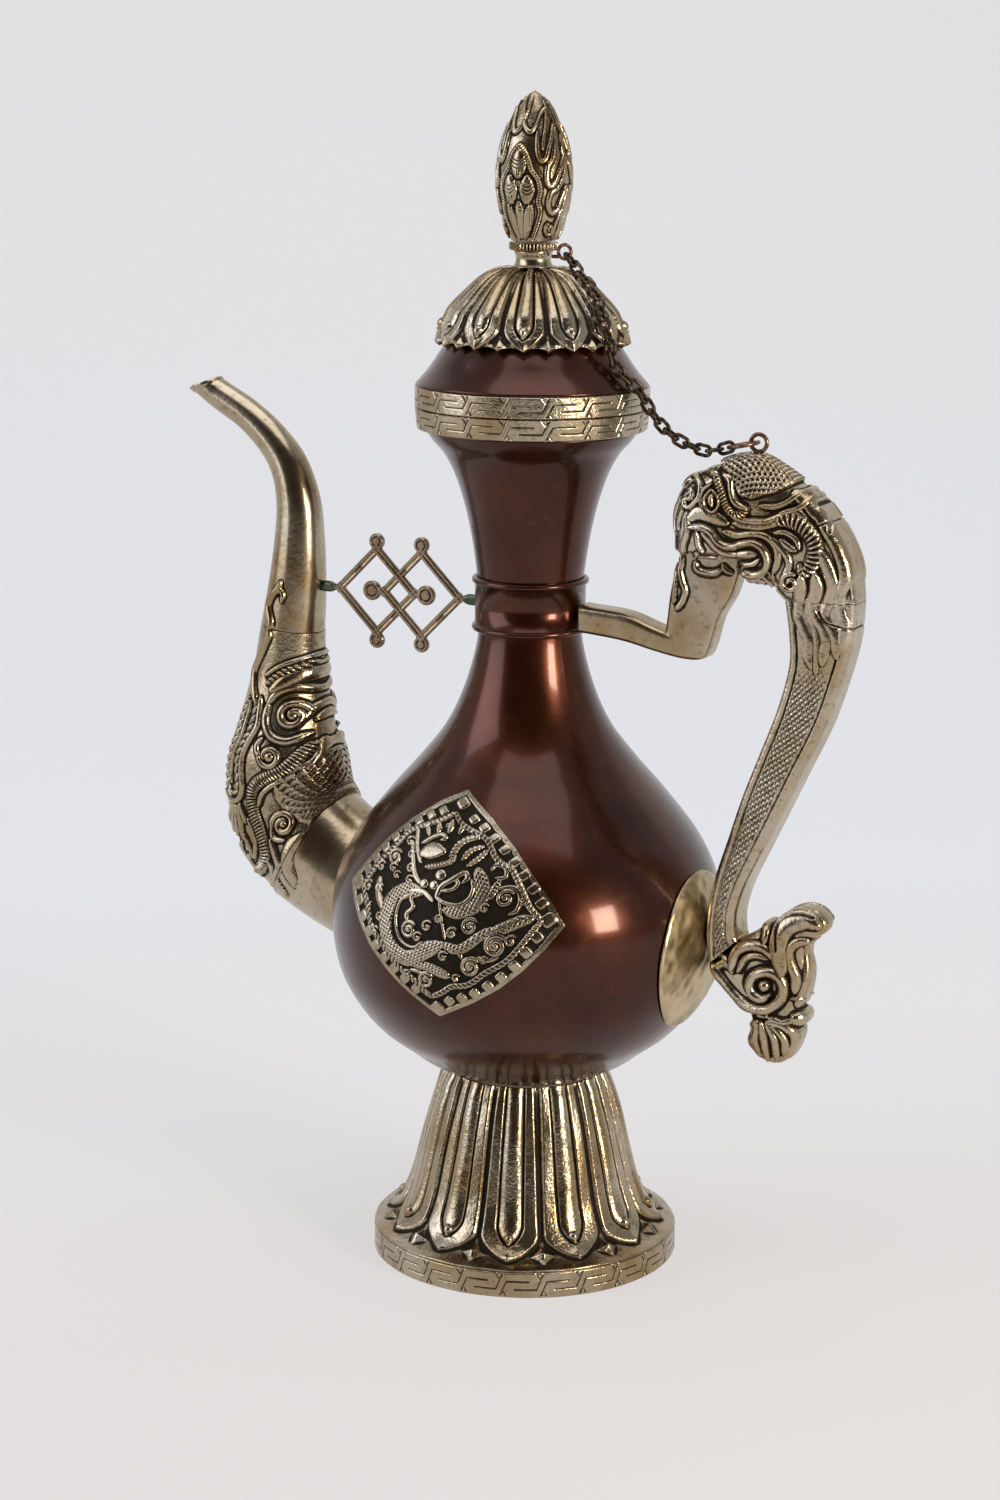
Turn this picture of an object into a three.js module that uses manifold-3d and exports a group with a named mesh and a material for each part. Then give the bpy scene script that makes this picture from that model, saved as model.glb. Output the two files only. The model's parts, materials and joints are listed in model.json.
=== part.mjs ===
// A Tibetan ewer: a dark copper vessel with embossed white-metal mounts.
// Millimetres, +Z up, spout towards -X, handle towards +X, medallions at -Y and +Y.

import * as THREE from 'three';
import { mergeVertices } from 'three/addons/utils/BufferGeometryUtils.js';
import Module from 'manifold-3d';

const wasm = await Module();
wasm.setup();

// Fits shared by the pieces
const seatGap = 0.3;
const overrun = 5;
const slopeProbe = 0.4;

// Foot
const footRadius = 53;
const bandHeight = 8.9;
const bandWall = 2.4;
const footTopRadius = 26.8;
const footSheet = 1.3;
const footRelief = 1.8;
const flangeStud = 3.4;
const flangeStudRadius = 49.2;
const petalCount = 12;

// Copper vessel
const bellyBottom = 62.6;
const bellyWaist = 117.6;
const bellyRadius = 67.2;
const neckSeam = 229.4;
const neckSeamRadius = 17;
const vesselWall = 1.3;
const neckTop = 288.5;
const neckTopRadius = 36;
const collarHeight = 18.5;
const collarWall = 1.5;
const collarBead = 0.9;

// Mouth ring and lid
const mouthRadius = 39.3;
const mouthRingHeight = 7;
const mouthRingTaper = 0.7;
const mouthBore = 34.2;
const lidBandHeight = 7;
const spigotDepth = 7.5;
const spigotWall = 1.2;
const spigotPlay = 0.5;
const domeHeight = 35;
const domeSheet = 1.2;

// Lotus cap, finial and the eye for the chain
const capHeight = 25;
const capLift = 13;
const capTopRadius = 6.6;
const capSheet = 1.2;
const capRelief = 1.7;
const capStud = 2.6;
const stemHeight = 5.4;
const stemRadius = 6.4;
const stemWaistShare = 0.33;
const stemCollarHeight = 2.9;
const stemCollarRadius = 8.2;
const budHeight = 49.4;
const budRadius = 12.9;
const jewelRelief = 0.9;
const lidEyeRadius = 2.3;
const lidEyeWire = 1.2;

// Medallions and the plate under the handle
const medallionHalfWidth = 39.6;
const medallionHeight = 137.2;
const medallionRise = 35.3;
const medallionSheet = 1.1;
const medallionRelief = 1.7;
const plateRadius = 27;
const plateHeight = 116;
const plateSheet = 1;
const patchGap = 0.6;

// Spout
const spoutInset = 7.2;
const spoutRootHeight = 123;
const spoutReach = 71;
const spoutRise = 175;
const spoutRootRadius = 22;
const spoutWall = 1.5;
const headWall = 3;
const spoutHoleRadius = 15;
const mouthCutAngle = 15;
const eyeBoss = 5.4;
const curlBoss = 3.9;
const snoutBoss = 3.4;
const bossWire = 1.7;

// Strut between the spout and the neck collar
const knotThickness = 2;
const knotDrop = 1;
const knotHalfDiagonal = 16.6;
const knotStrip = 2.6;
const knotPitch = 17.5;
const knotOuterKnob = 2.8;
const knotOuterReach = 0.7;
const knotInnerKnob = 3.2;
const knotInnerReach = 2.8;
const knotPin = 4;

// Handle
const armDrop = 3.6;
const armRiseShare = 0.7106;
const handleEyeShare = 0.255;
const handleEyeLift = 4.2;
const armDepth = 10.6;
const armBevel = 2.4;
const armWidth = 11.2;
const gripWidth = 13.4;
const gripEdge = 1.3;
const panelDepth = 0.8;
const panelMargin = 2;
const headWidth = 20;
const scrollWidth = 13;
const scrollEdge = 1.2;
const voluteRadius = 7.6;
const handleReach = 49.6;
const scrollDrop = 34.6;
const mouthHalfLength = 13.5;
const mouthHalfHeight = 4.2;
const mouthTilt = 15;
const lipWire = 2.4;
const browBoss = 3.1;
const earBoss = 5.6;
const handleEyeRadius = 2.8;
const handleEyeWire = 1.4;
const eyePostShare = 0.7;

// Chain
const linkCount = 24;
const linkWire = 1.25;
const linkWidth = 3.25;
const linkPlay = 0.18;
const endRingRadius = 4.8;
const endRingWire = 1.4;
const endRingDip = 2;
const chainSag = 7.8;
const chainRimTurn = 7;
const eyePullShare = 0.24;
const ringPullShare = 0.2;
const rimLiftShares = { out: 0.9, up: 0.35 };
const chainSagShares = [[0.15, 0.62], [0.35, 1], [0.6, 0.95], [0.82, 0.62]];

// Facets round the turned and swept pieces
const vesselFacets = 32;
const neckFacets = 24;
const shellFacets = 24;
const stemFacets = 16;
const spoutFacets = 12;
const wireFacets = 4;
const wireSteps = 10;
const endRingSteps = 14;
const plateFacets = 24;
const knobFacets = 12;

// Materials, by the metal and its finish
const copper = { color: 0x4a2416, roughness: 0.34, metalness: 0.9 };
const whiteMetal = { color: 0xb5a27f, roughness: 0.36, metalness: 1 };
const plateMetal = { color: 0xb9a273, roughness: 0.42, metalness: 1 };
const chainMetal = { color: 0x4f4338, roughness: 0.5, metalness: 0.9 };
const eyeCopper = { color: 0x8d5a3c, roughness: 0.4, metalness: 0.95 };

// Closed solids: joining, cutting and intersecting

function toSolid(geometry) {
  const bare = geometry.index ? geometry.toNonIndexed() : geometry.clone();
  bare.deleteAttribute('normal');
  bare.deleteAttribute('uv');
  const merged = mergeVertices(bare);
  const corners = merged.index.array;
  const faces = [];
  for (let i = 0; i < corners.length; i += 3) {
    const [a, b, c] = corners.slice(i, i + 3);
    if (a !== b && b !== c && c !== a) faces.push(a, b, c);
  }
  const vertProperties = Float32Array.from(merged.attributes.position.array);
  const mesh = new wasm.Mesh({ numProp: 3, vertProperties, triVerts: Uint32Array.from(faces) });
  return new wasm.Manifold(mesh);
}

function toGeometry(solid) {
  const mesh = solid.getMesh();
  const geometry = new THREE.BufferGeometry();
  geometry.setAttribute('position', new THREE.BufferAttribute(mesh.vertProperties, 3));
  geometry.setIndex(new THREE.BufferAttribute(mesh.triVerts, 1));
  geometry.computeVertexNormals();
  return geometry;
}

function join(first, ...others) {
  let solid = toSolid(first);
  for (const other of others) solid = solid.add(toSolid(other));
  return toGeometry(solid);
}

function cut(first, ...others) {
  let solid = toSolid(first);
  for (const other of others) solid = solid.subtract(toSolid(other));
  return toGeometry(solid);
}

// Turns a closed or axis-to-axis profile of [radius, height] pairs round Z
function turned(profile, facets) {
  const points = profile.map(([radius, height]) => new THREE.Vector2(radius, height));
  const geometry = new THREE.LatheGeometry(points, facets);
  geometry.rotateX(Math.PI / 2);
  return toGeometry(toSolid(facingOut(geometry)));
}

// A rectangular ring
function ring(inner, outer, bottom, top, facets) {
  const section = [[inner, bottom], [outer, bottom], [outer, top], [inner, top], [inner, bottom]];
  return turned(section, facets);
}

// Turns the faces round if the body is inside out
function facingOut(geometry) {
  const flat = geometry.index ? geometry.toNonIndexed() : geometry;
  const place = flat.attributes.position;
  const corner = [0, 1, 2].map(() => new THREE.Vector3());
  let volume = 0;
  for (let i = 0; i < place.count; i += 3) {
    corner.forEach((point, k) => point.fromBufferAttribute(place, i + k));
    volume += corner[0].dot(corner[1].clone().cross(corner[2]));
  }
  if (volume > 0) return flat;
  for (let i = 0; i < place.count; i += 3) {
    corner.forEach((point, k) => point.fromBufferAttribute(place, i + k));
    place.setXYZ(i + 1, ...corner[2].toArray());
    place.setXYZ(i + 2, ...corner[1].toArray());
  }
  return flat;
}

// Skins two neighbouring rings, where one may have a whole multiple of the other's points
function stripFaces(near, far) {
  const many = near.count >= far.count ? near : far;
  const few = many === near ? far : near;
  const share = many.count / few.count;
  const faces = [];
  for (let index = 0; index < many.count; index += 1) {
    const corner = Math.floor((index + share / 2) / share) % few.count;
    const pair = [many.start + index, many.start + ((index + 1) % many.count)];
    faces.push([pair[0], pair[1], few.start + corner]);
    const following = Math.floor((index + 1 + share / 2) / share) % few.count;
    if (following !== corner) faces.push([pair[1], few.start + following, few.start + corner]);
  }
  return many === near ? faces.flat() : faces.map((face) => face.reverse()).flat();
}

// Skins rings of points into one body, with closed ends or looped back on its start
function loft(rings, looped = false) {
  const points = rings.flat();
  const bands = rings.map((ring, row) => ({
    start: rings.slice(0, row).reduce((sum, before) => sum + before.length, 0),
    count: ring.length,
  }));
  const faces = [];
  const spans = looped ? rings.length : rings.length - 1;
  for (let row = 0; row < spans; row += 1) {
    faces.push(...stripFaces(bands[row], bands[(row + 1) % rings.length]));
  }
  if (!looped) {
    for (const [row, flip] of [[0, true], [rings.length - 1, false]]) {
      const { start, count } = bands[row];
      const middle = new THREE.Vector3();
      rings[row].forEach((point) => middle.addScaledVector(point, 1 / count));
      points.push(middle);
      for (let column = 0; column < count; column += 1) {
        const pair = [start + column, start + ((column + 1) % count)];
        if (flip) pair.reverse();
        faces.push(points.length - 1, ...pair);
      }
    }
  }
  const geometry = new THREE.BufferGeometry().setFromPoints(points);
  geometry.setIndex(faces);
  return toGeometry(toSolid(facingOut(geometry)));
}

// Profiles of [radius, height] pairs

// Places an outline's shares between two heights and two radii
function placed(shares, low, high, inner, outer) {
  return shares.map(([heightShare, radiusShare]) => [
    inner + (outer - inner) * radiusShare,
    low + (high - low) * heightShare,
  ]);
}

function radiusAt(profile, height) {
  for (let i = 1; i < profile.length; i += 1) {
    const [[r0, z0], [r1, z1]] = [profile[i - 1], profile[i]];
    if (height <= z1) return r0 + (r1 - r0) * Math.max(0, (height - z0) / (z1 - z0));
  }
  return profile[profile.length - 1][0];
}

// The first height at which an outline widens past a radius
function heightAt(profile, radius) {
  const next = profile.findIndex(([outer]) => outer > radius);
  const [[r0, z0], [r1, z1]] = [profile[next - 1], profile[next]];
  return z0 + ((z1 - z0) * (radius - r0)) / (r1 - r0);
}

// The profile's outward normal in its own plane
function normalAt(profile, height) {
  const rise = radiusAt(profile, height + slopeProbe) - radiusAt(profile, height - slopeProbe);
  return new THREE.Vector2(2 * slopeProbe, -rise).normalize();
}

// A point on the turned surface, lifted along its normal
function onSurface(profile, height, angle, lift) {
  const normal = normalAt(profile, height);
  const radius = radiusAt(profile, height) + normal.x * lift;
  const z = height + normal.y * lift;
  return new THREE.Vector3(radius * Math.cos(angle), radius * Math.sin(angle), z);
}

// The same profile set back by a wall, with level ends
function setBack(profile, wall) {
  return profile.map(([radius, height], index) => {
    const normal = normalAt(profile, height);
    const atEnd = radius > 0 && (index === 0 || index === profile.length - 1);
    if (atEnd) return [radius - wall / normal.x, height];
    return [Math.max(0, radius - normal.x * wall), height - normal.y * wall];
  });
}

// Every second point of a profile, with both its ends, for the plainer hidden side
function thinned(profile) {
  return profile.filter((_, index) => index % 2 === 0 || index === profile.length - 1);
}

// An open-ended wall from an outer profile that runs upwards
function wallFrom(profile, wall) {
  const inside = thinned(setBack(profile, wall)).reverse();
  return [...profile, ...inside, profile[0]];
}

// Flat outlines in the XZ plane

// Extrudes an outline of [x, z] pairs across Y, centred on Y = 0, with chamfered sides
function slab(outline, width, bevel = 0, holes = []) {
  const shape = new THREE.Shape(outline.map(([x, z]) => new THREE.Vector2(x, z)));
  for (const hole of holes) {
    shape.holes.push(new THREE.Path(hole.map(([x, z]) => new THREE.Vector2(x, z))));
  }
  const geometry = new THREE.ExtrudeGeometry(shape, {
    depth: width - 2 * bevel,
    bevelEnabled: bevel > 0,
    bevelThickness: bevel,
    bevelSize: bevel,
    bevelOffset: -bevel,
    bevelSegments: 1,
  });
  geometry.translate(0, 0, bevel - width / 2);
  geometry.rotateX(Math.PI / 2);
  return geometry;
}

// A closed ring of wire in the plane of two directions
function wireRing(centre, across, along, halfAcross, halfAlong, wire, steps) {
  const normal = across.clone().cross(along).normalize();
  const straight = Math.max(0, halfAlong - halfAcross);
  const bend = Math.min(halfAcross, halfAlong);
  const rings = [];
  for (let step = 0; step < steps; step += 1) {
    const turn = (2 * Math.PI * (step + 0.5)) / steps;
    const outward = across.clone().multiplyScalar(Math.cos(turn));
    outward.addScaledVector(along, Math.sin(turn));
    const middle = centre.clone().addScaledVector(outward, bend);
    middle.addScaledVector(along, Math.sign(Math.sin(turn)) * straight);
    rings.push(Array.from({ length: wireFacets }, (_, side) => {
      const angle = (2 * Math.PI * side) / wireFacets;
      const point = middle.clone().addScaledVector(outward, (Math.cos(angle) * wire) / 2);
      return point.addScaledVector(normal, (Math.sin(angle) * wire) / 2);
    }));
  }
  return loft(rings, true);
}

// A round bar between two points
function bar(from, to, radius, facets) {
  const length = from.distanceTo(to);
  const geometry = new THREE.CylinderGeometry(radius, radius, length, facets);
  geometry.translate(0, length / 2, 0);
  const up = new THREE.Vector3(0, 1, 0);
  geometry.applyQuaternion(new THREE.Quaternion().setFromUnitVectors(up, to.clone().sub(from).normalize()));
  geometry.translate(...from.toArray());
  return geometry;
}

// Embossed lotus petals

// Across a petal: place, height of the leaf and height of its inner lobe
const petalSectionShares = [
  [-1, 0, 0], [-0.88, 0.8, 0], [-0.56, 0.3, 0], [0, 0.5, 0.5], [0.56, 0.3, 0], [0.88, 0.8, 0], [1, 0, 0],
];

// Rows give a height, the half width as a share of the sector, the leaf's and the lobe's share
function petalRing(profile, [height, widthShare, leafShare, lobeShare], relief) {
  const half = Math.PI / petalCount;
  const points = [];
  for (let index = 0; index < petalCount; index += 1) {
    const centre = (2 * index + 1) * half;
    points.push(onSurface(profile, height, centre - half, 0));
    for (const [place, leaf, lobe] of petalSectionShares) {
      const lift = relief * (leaf * leafShare + lobe * lobeShare);
      points.push(onSurface(profile, height, centre + place * half * widthShare, lift));
    }
  }
  return points;
}

// A four-sided pointed stud standing on the surface
function stud(profile, height, angle, size, relief, sheet) {
  const geometry = new THREE.ConeGeometry(size / Math.SQRT2, relief + sheet / 2, 4);
  geometry.translate(0, (relief - sheet / 2) / 2, 0);
  const foot = onSurface(profile, height, angle, 0);
  const out = onSurface(profile, height, angle, size).sub(foot).normalize();
  const up = new THREE.Vector3(0, 1, 0);
  geometry.applyQuaternion(new THREE.Quaternion().setFromUnitVectors(up, out));
  geometry.translate(...foot.toArray());
  return geometry;
}

// A turned sheet whose outer side is raised into petals, with studs between their tips
function petalled(profile, rows, relief, sheet, studHeight, studSize) {
  const inside = thinned(setBack(profile, sheet)).reverse().map(([radius, height]) => {
    return Array.from({ length: shellFacets }, (_, step) => {
      const angle = (2 * Math.PI * step) / shellFacets;
      return new THREE.Vector3(radius * Math.cos(angle), radius * Math.sin(angle), height);
    });
  });
  const shell = loft([...rows.map((row) => petalRing(profile, row, relief)), ...inside], true);
  const studs = Array.from({ length: petalCount }, (_, index) => {
    return stud(profile, studHeight, (2 * Math.PI * index) / petalCount, studSize, relief, sheet);
  });
  return join(shell, ...studs);
}

// The group that carries every piece on the body's axis
const ewer = new THREE.Group();
ewer.name = 'tibetan_ewer';
const onAxis = new THREE.Group();
ewer.add(onAxis);

function add(name, geometry, metal) {
  const mesh = new THREE.Mesh(geometry, new THREE.MeshStandardMaterial(metal));
  mesh.name = name;
  onAxis.add(mesh);
  return mesh;
}

// The belly's outer profile, on which the foot, spout, handle and medallions seat
const bellyLowShares = [
  [0, 0], [0.082, 0.425], [0.152, 0.543], [0.242, 0.643], [0.37, 0.777], [0.533, 0.885], [0.733, 0.966],
];
const bellyHighShares = [
  [0, 1], [0.134, 0.977], [0.269, 0.85], [0.403, 0.628], [0.522, 0.398], [0.627, 0.221], [0.746, 0.099],
  [0.881, 0.02], [1, 0],
];
const bellyProfile = [
  ...placed(bellyLowShares, bellyBottom, bellyWaist, 0, bellyRadius),
  ...placed(bellyHighShares, bellyWaist, neckSeam, neckSeamRadius, bellyRadius),
];

// Foot: an embossed skirt of twelve lotus petals on a soldered base band

const footFloorShares = [
  [0, 1], [0.021, 0.9], [0.038, 0.77], [0.09, 0.63], [0.19, 0.505], [0.42, 0.355], [0.72, 0.188], [1, 0],
];
const footPetalShares = [
  [0, 0.6, 0, 0], [0.034, 0.05, 0.2, 0], [0.075, 0.7, 1, 0.2], [0.15, 0.93, 1, 0.9],
  [0.3, 0.95, 1, 1], [0.62, 0.95, 1, 1], [1, 0.95, 1, 1],
];
const footBottom = bandHeight + seatGap;
const footTop = heightAt(bellyProfile, footTopRadius) - 2 * seatGap;
const footProfile = placed(footFloorShares, footBottom, footTop, footTopRadius, footRadius - seatGap);
const footRows = footPetalShares.map(([share, ...rest]) => [
  footBottom + (footTop - footBottom) * share, ...rest,
]);
const flangeStudHeight = footProfile.findLast(([radius]) => radius > flangeStudRadius)[1];

function makeFoot() {
  const shell = petalled(footProfile, footRows, footRelief, footSheet, flangeStudHeight, flangeStud);
  add('foot_shell', shell, whiteMetal);
  add('foot_band', ring(footRadius - bandWall, footRadius, 0, bandHeight, vesselFacets), whiteMetal);
}

// Vessel: the belly and the neck are raised separately and joined under the collar

const neckShares = [
  [0, 0], [0.2, 0.074], [0.4, 0.166], [0.58, 0.293], [0.74, 0.458], [0.86, 0.649], [0.94, 0.858], [1, 1],
];
const neckProfile = placed(neckShares, neckSeam + seatGap, neckTop, neckSeamRadius, neckTopRadius);

// The collar clears the seam's widest place under it
const collarLow = neckSeam - collarHeight / 2;
const collarHigh = neckSeam + collarHeight / 2;
const collarBore = Math.max(radiusAt(bellyProfile, collarLow), radiusAt(neckProfile, collarHigh)) + seatGap;
const collarRadius = collarBore + collarWall;

// The outer wall faces the spout's hollow, so the belly is pierced there
function makeVessel() {
  const inside = thinned(setBack(bellyProfile, vesselWall)).slice(1);
  const wall = [...bellyProfile, ...inside.reverse(), [0, bellyBottom + vesselWall]];
  const hole = bar(
    new THREE.Vector3(spoutInset - bellyRadius + spoutHoleRadius, 0, spoutRootHeight),
    new THREE.Vector3(-bellyRadius - overrun, 0, spoutRootHeight),
    spoutHoleRadius,
    spoutFacets,
  );
  add('belly', cut(turned(wall, vesselFacets), hole), copper);
  add('neck', turned(wallFrom(neckProfile, vesselWall), neckFacets), copper);

  const shelf = collarRadius - collarBead;
  add('neck_collar', turned([
    [collarBore, collarLow], [shelf, collarLow], [collarRadius, collarLow + collarBead],
    [shelf, collarLow + 2 * collarBead], [shelf, collarHigh - 2 * collarBead],
    [collarRadius, collarHigh - collarBead], [shelf, collarHigh], [collarBore, collarHigh],
    [collarBore, collarLow],
  ], neckFacets), copper);
}

const mouthRingBottom = neckTop + seatGap;
const mouthRingTop = mouthRingBottom + mouthRingHeight;

function makeMouthRing() {
  add('mouth_ring', turned([
    [mouthBore, mouthRingBottom], [mouthRadius - mouthRingTaper, mouthRingBottom],
    [mouthRadius, mouthRingTop], [mouthBore, mouthRingTop], [mouthBore, mouthRingBottom],
  ], vesselFacets), whiteMetal);
}

// Lid: a band with a spigot, a copper dome, a lotus cap and the jewel finial

const lidBottom = mouthRingTop + seatGap;
const lidBandTop = lidBottom + lidBandHeight;
const domeBottom = lidBandTop + seatGap;
const domeShares = [[0, 1], [0.15, 0.885], [0.35, 0.765], [0.6, 0.592], [0.84, 0.36], [1, 0]];
const domeProfile = placed(domeShares, domeBottom, domeBottom + domeHeight, 0, mouthRadius - seatGap);
const capBottom = domeBottom + capLift;
const capTop = capBottom + capHeight;
const capRadius = radiusAt(domeProfile, capBottom) + capSheet + 2 * seatGap;
const capFloorShares = [[0, 1], [0.15, 0.965], [0.38, 0.825], [0.62, 0.65], [0.83, 0.42], [1, 0]];
const capPetalShares = [
  [0, 0.06, 0.2, 0], [0.15, 0.5, 1, 0.15], [0.32, 0.9, 1, 0.8], [0.55, 0.95, 1, 1],
  [0.8, 0.95, 1, 1], [1, 0.92, 0, 0.3],
];
const capProfile = placed(capFloorShares, capBottom, capTop, capTopRadius, capRadius);
const capRows = capPetalShares.map(([share, ...rest]) => [capBottom + capHeight * share, ...rest]);
const stemBottom = capTop + 2 * seatGap;
const stemCollarBottom = stemBottom + stemHeight;
const budBottom = stemCollarBottom + stemCollarHeight + seatGap;
const budShares = [
  [0, 0], [0, 0.52], [0.08, 0.72], [0.2, 0.91], [0.36, 1], [0.52, 0.985], [0.68, 0.83], [0.84, 0.53], [1, 0],
];

function makeLid() {
  const spigotRadius = mouthBore - spigotPlay;
  const spigotBottom = mouthRingTop - spigotDepth;
  add('lid_band', ring(spigotRadius + seatGap, mouthRadius, lidBottom, lidBandTop, vesselFacets), whiteMetal);
  add('lid_spigot', ring(
    spigotRadius - spigotWall, spigotRadius, spigotBottom, lidBandTop, vesselFacets,
  ), whiteMetal);

  const domeInside = thinned(setBack(domeProfile, domeSheet)).slice(0, -1);
  const apex = domeBottom + domeHeight;
  const domeWall = [...domeProfile, [0, apex - domeSheet], ...domeInside.reverse(), domeProfile[0]];
  add('lid_dome', turned(domeWall, vesselFacets), copper);

  const capStudHeight = capBottom + capStud / 2;
  const cap = petalled(capProfile, capRows, capRelief, capSheet, capStudHeight, capStud);
  add('lotus_cap', cap, whiteMetal);
}

function makeFinial() {
  const stemTop = stemCollarBottom + stemCollarHeight;
  add('finial_stem', turned([
    [0, stemBottom], [capTopRadius, stemBottom], [stemRadius, stemBottom + stemHeight * stemWaistShare],
    [stemRadius, stemCollarBottom], [stemCollarRadius, stemCollarBottom], [stemCollarRadius, stemTop],
    [0, stemTop],
  ], stemFacets), whiteMetal);

  const budTop = budBottom + budHeight;
  const budProfile = placed(budShares, budBottom, budTop, 0, budRadius);
  const bud = turned(budProfile, stemFacets);
  const jewels = [];
  for (const facing of [0, 1]) {
    jewelShares.forEach(([heightShare, sideShare, sizeShare]) => {
      const height = budBottom + budHeight * heightShare;
      const angle = (facing - 1 / 2) * Math.PI + sideShare;
      const jewel = new THREE.SphereGeometry(1, 6, 4);
      jewel.rotateX(Math.PI / 2);
      jewel.scale(2 * jewelRelief, budRadius * sizeShare, 2 * budRadius * sizeShare);
      jewel.rotateZ(angle);
      jewel.translate(...onSurface(budProfile.slice(1), height, angle, 0).toArray());
      jewels.push(jewel);
    });
  }
  add('finial_bud', join(bud, ...jewels), whiteMetal);
}

// Six jewels a side in three rows: height share, turn in radians, size share
const jewelShares = [
  [0.58, 0, 0.19], [0.42, -0.34, 0.18], [0.42, 0.34, 0.18],
  [0.22, -0.52, 0.14], [0.22, 0, 0.14], [0.22, 0.52, 0.14],
];

// Medallions and handle plate: sheets that follow the belly

const patchBackShares = [1, 0.84, 0.68, 0.52, 0.36, 0.2, 0.04];

// Puts a flat outline of [across, height] pairs on the belly, facing the given angle
function bellyPatch(outline, facing, rings, sheet) {
  const count = outline.length;
  const middle = [0, outline.reduce((sum, [, height]) => sum + height / count, 0)];
  const spot = (across, height, lift) => {
    const turn = Math.asin(across / radiusAt(bellyProfile, height));
    return onSurface(bellyProfile, height, facing + turn, lift);
  };
  const front = rings.map(([share, lift]) => outline.map(([across, height]) => spot(
    across * share, middle[1] + (height - middle[1]) * share, patchGap + sheet + lift,
  )));
  const back = patchBackShares.map((share) => outline.map(([across, height]) => spot(
    across * share, middle[1] + (height - middle[1]) * share, patchGap,
  )));
  return loft([...front.reverse(), ...back]);
}

// A quarter of the lozenge: an ogee from the side corner to the top
const lozengeShares = [[1, 0], [0.87, 0.17], [0.66, 0.44], [0.42, 0.68], [0.17, 0.88]];

// Rings inwards over the medallion: share of the outline, and height as a share of the relief
const medallionRingShares = [
  [1, 0], [0.93, 0], [0.91, 0.7], [0.85, 0.7], [0.83, 1], [0.77, 1], [0.75, 0.1], [0.4, 0.55], [0.04, 0.7],
];

function makeMedallions() {
  const quarter = lozengeShares.map(([x, z]) => [x * medallionHalfWidth, z * medallionRise]);
  const tip = [0, medallionRise];
  const inward = [...quarter.slice(1).reverse()];
  const half = [...quarter, tip, ...inward.map(([x, z]) => [-x, z])];
  const outline = [...half, ...half.map(([x, z]) => [-x, -z])];
  const raised = outline.map(([x, z]) => [x, medallionHeight + z]);
  const rings = medallionRingShares.map(([share, lift]) => [share, lift * medallionRelief]);
  add('medallion_front', bellyPatch(raised, -Math.PI / 2, rings, medallionSheet), whiteMetal);
  add('medallion_back', bellyPatch(raised, Math.PI / 2, rings, medallionSheet), whiteMetal);
}

function makeHandlePlate() {
  const plateRings = patchBackShares.map((share) => [share, 0]);
  const outline = Array.from({ length: plateFacets }, (_, index) => {
    const turn = (2 * Math.PI * index) / plateFacets;
    return [plateRadius * Math.cos(turn), plateHeight + plateRadius * Math.sin(turn)];
  });
  add('handle_plate', bellyPatch(outline, 0, plateRings, plateSheet), plateMetal);
}

// Spout: a root collar, the makara head and the plain tube out of its mouth

// Reach share, rise share, radius as a share of the root's, and flatness across Y
const spoutShares = [
  [0, 0, 1, 1], [0.17, 0.03, 1.04, 0.96], [0.34, 0.07, 1.09, 0.9], [0.45, 0.125, 1.12, 0.86],
  [0.5, 0.195, 1.09, 0.84], [0.5, 0.27, 0.98, 0.86], [0.49, 0.345, 0.8, 0.9], [0.48, 0.43, 0.63, 0.96],
  [0.46, 0.515, 0.545, 1], [0.435, 0.6, 0.47, 1], [0.42, 0.69, 0.405, 1], [0.425, 0.77, 0.355, 1],
  [0.48, 0.84, 0.305, 1], [0.58, 0.892, 0.27, 1], [0.71, 0.937, 0.245, 1], [0.85, 0.97, 0.24, 1],
  [1, 1.005, 0.27, 1],
];
const spoutRootX = spoutInset - bellyRadius;
const spoutPoints = spoutShares.map(([reach, rise]) => new THREE.Vector3(
  spoutRootX - spoutReach * reach, 0, spoutRootHeight + spoutRise * rise,
));

// A ring round the spout's line, set back by a wall
function spoutRing(index, wall) {
  const before = spoutPoints[Math.max(0, index - 1)];
  const after = spoutPoints[Math.min(spoutPoints.length - 1, index + 1)];
  const along = after.clone().sub(before).normalize();
  const side = new THREE.Vector3(0, 1, 0);
  const out = side.clone().cross(along).normalize();
  const radius = spoutRootRadius * spoutShares[index][2];
  const flat = radius * spoutShares[index][3];
  return Array.from({ length: spoutFacets }, (_, step) => {
    const turn = (2 * Math.PI * step) / spoutFacets;
    const point = spoutPoints[index].clone();
    point.addScaledVector(out, Math.cos(turn) * (radius - wall));
    return point.addScaledVector(side, Math.sin(turn) * (flat - wall));
  });
}

// A pipe between two stations of the spout's line
function spoutPipe(first, last, wall) {
  const stations = Array.from({ length: last - first + 1 }, (_, step) => first + step);
  const outside = stations.map((index) => spoutRing(index, 0));
  const inside = stations.map((index) => spoutRing(index, wall));
  const onward = spoutPoints[first + 1].clone().sub(spoutPoints[first]).normalize();
  for (const start of [outside[0], inside[0]]) {
    start.forEach((point) => point.addScaledVector(onward, seatGap));
  }
  return loft([...outside, ...inside.reverse()], true);
}

const collarSpanCount = 2;
const headSpanCount = 8;
const spoutEnd = spoutPoints.length - 1;

// A ring of raised wire round a knob, standing on a side face
function spiralBoss(centre, radius) {
  const across = new THREE.Vector3(1, 0, 0);
  const up = new THREE.Vector3(0, 0, 1);
  const wire = wireRing(centre, across, up, radius, radius, bossWire, wireSteps);
  const knob = new THREE.SphereGeometry(radius / 2, 6, 4);
  knob.translate(...centre.toArray());
  return [wire, knob];
}

// Eye, cheek and jaw spirals on both sides of the makara: shares of the spout's reach and rise, radius
const makaraBossShares = [[0.364, 0.348, eyeBoss], [0.452, 0.264, snoutBoss], [0.366, 0.131, curlBoss]];

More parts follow.
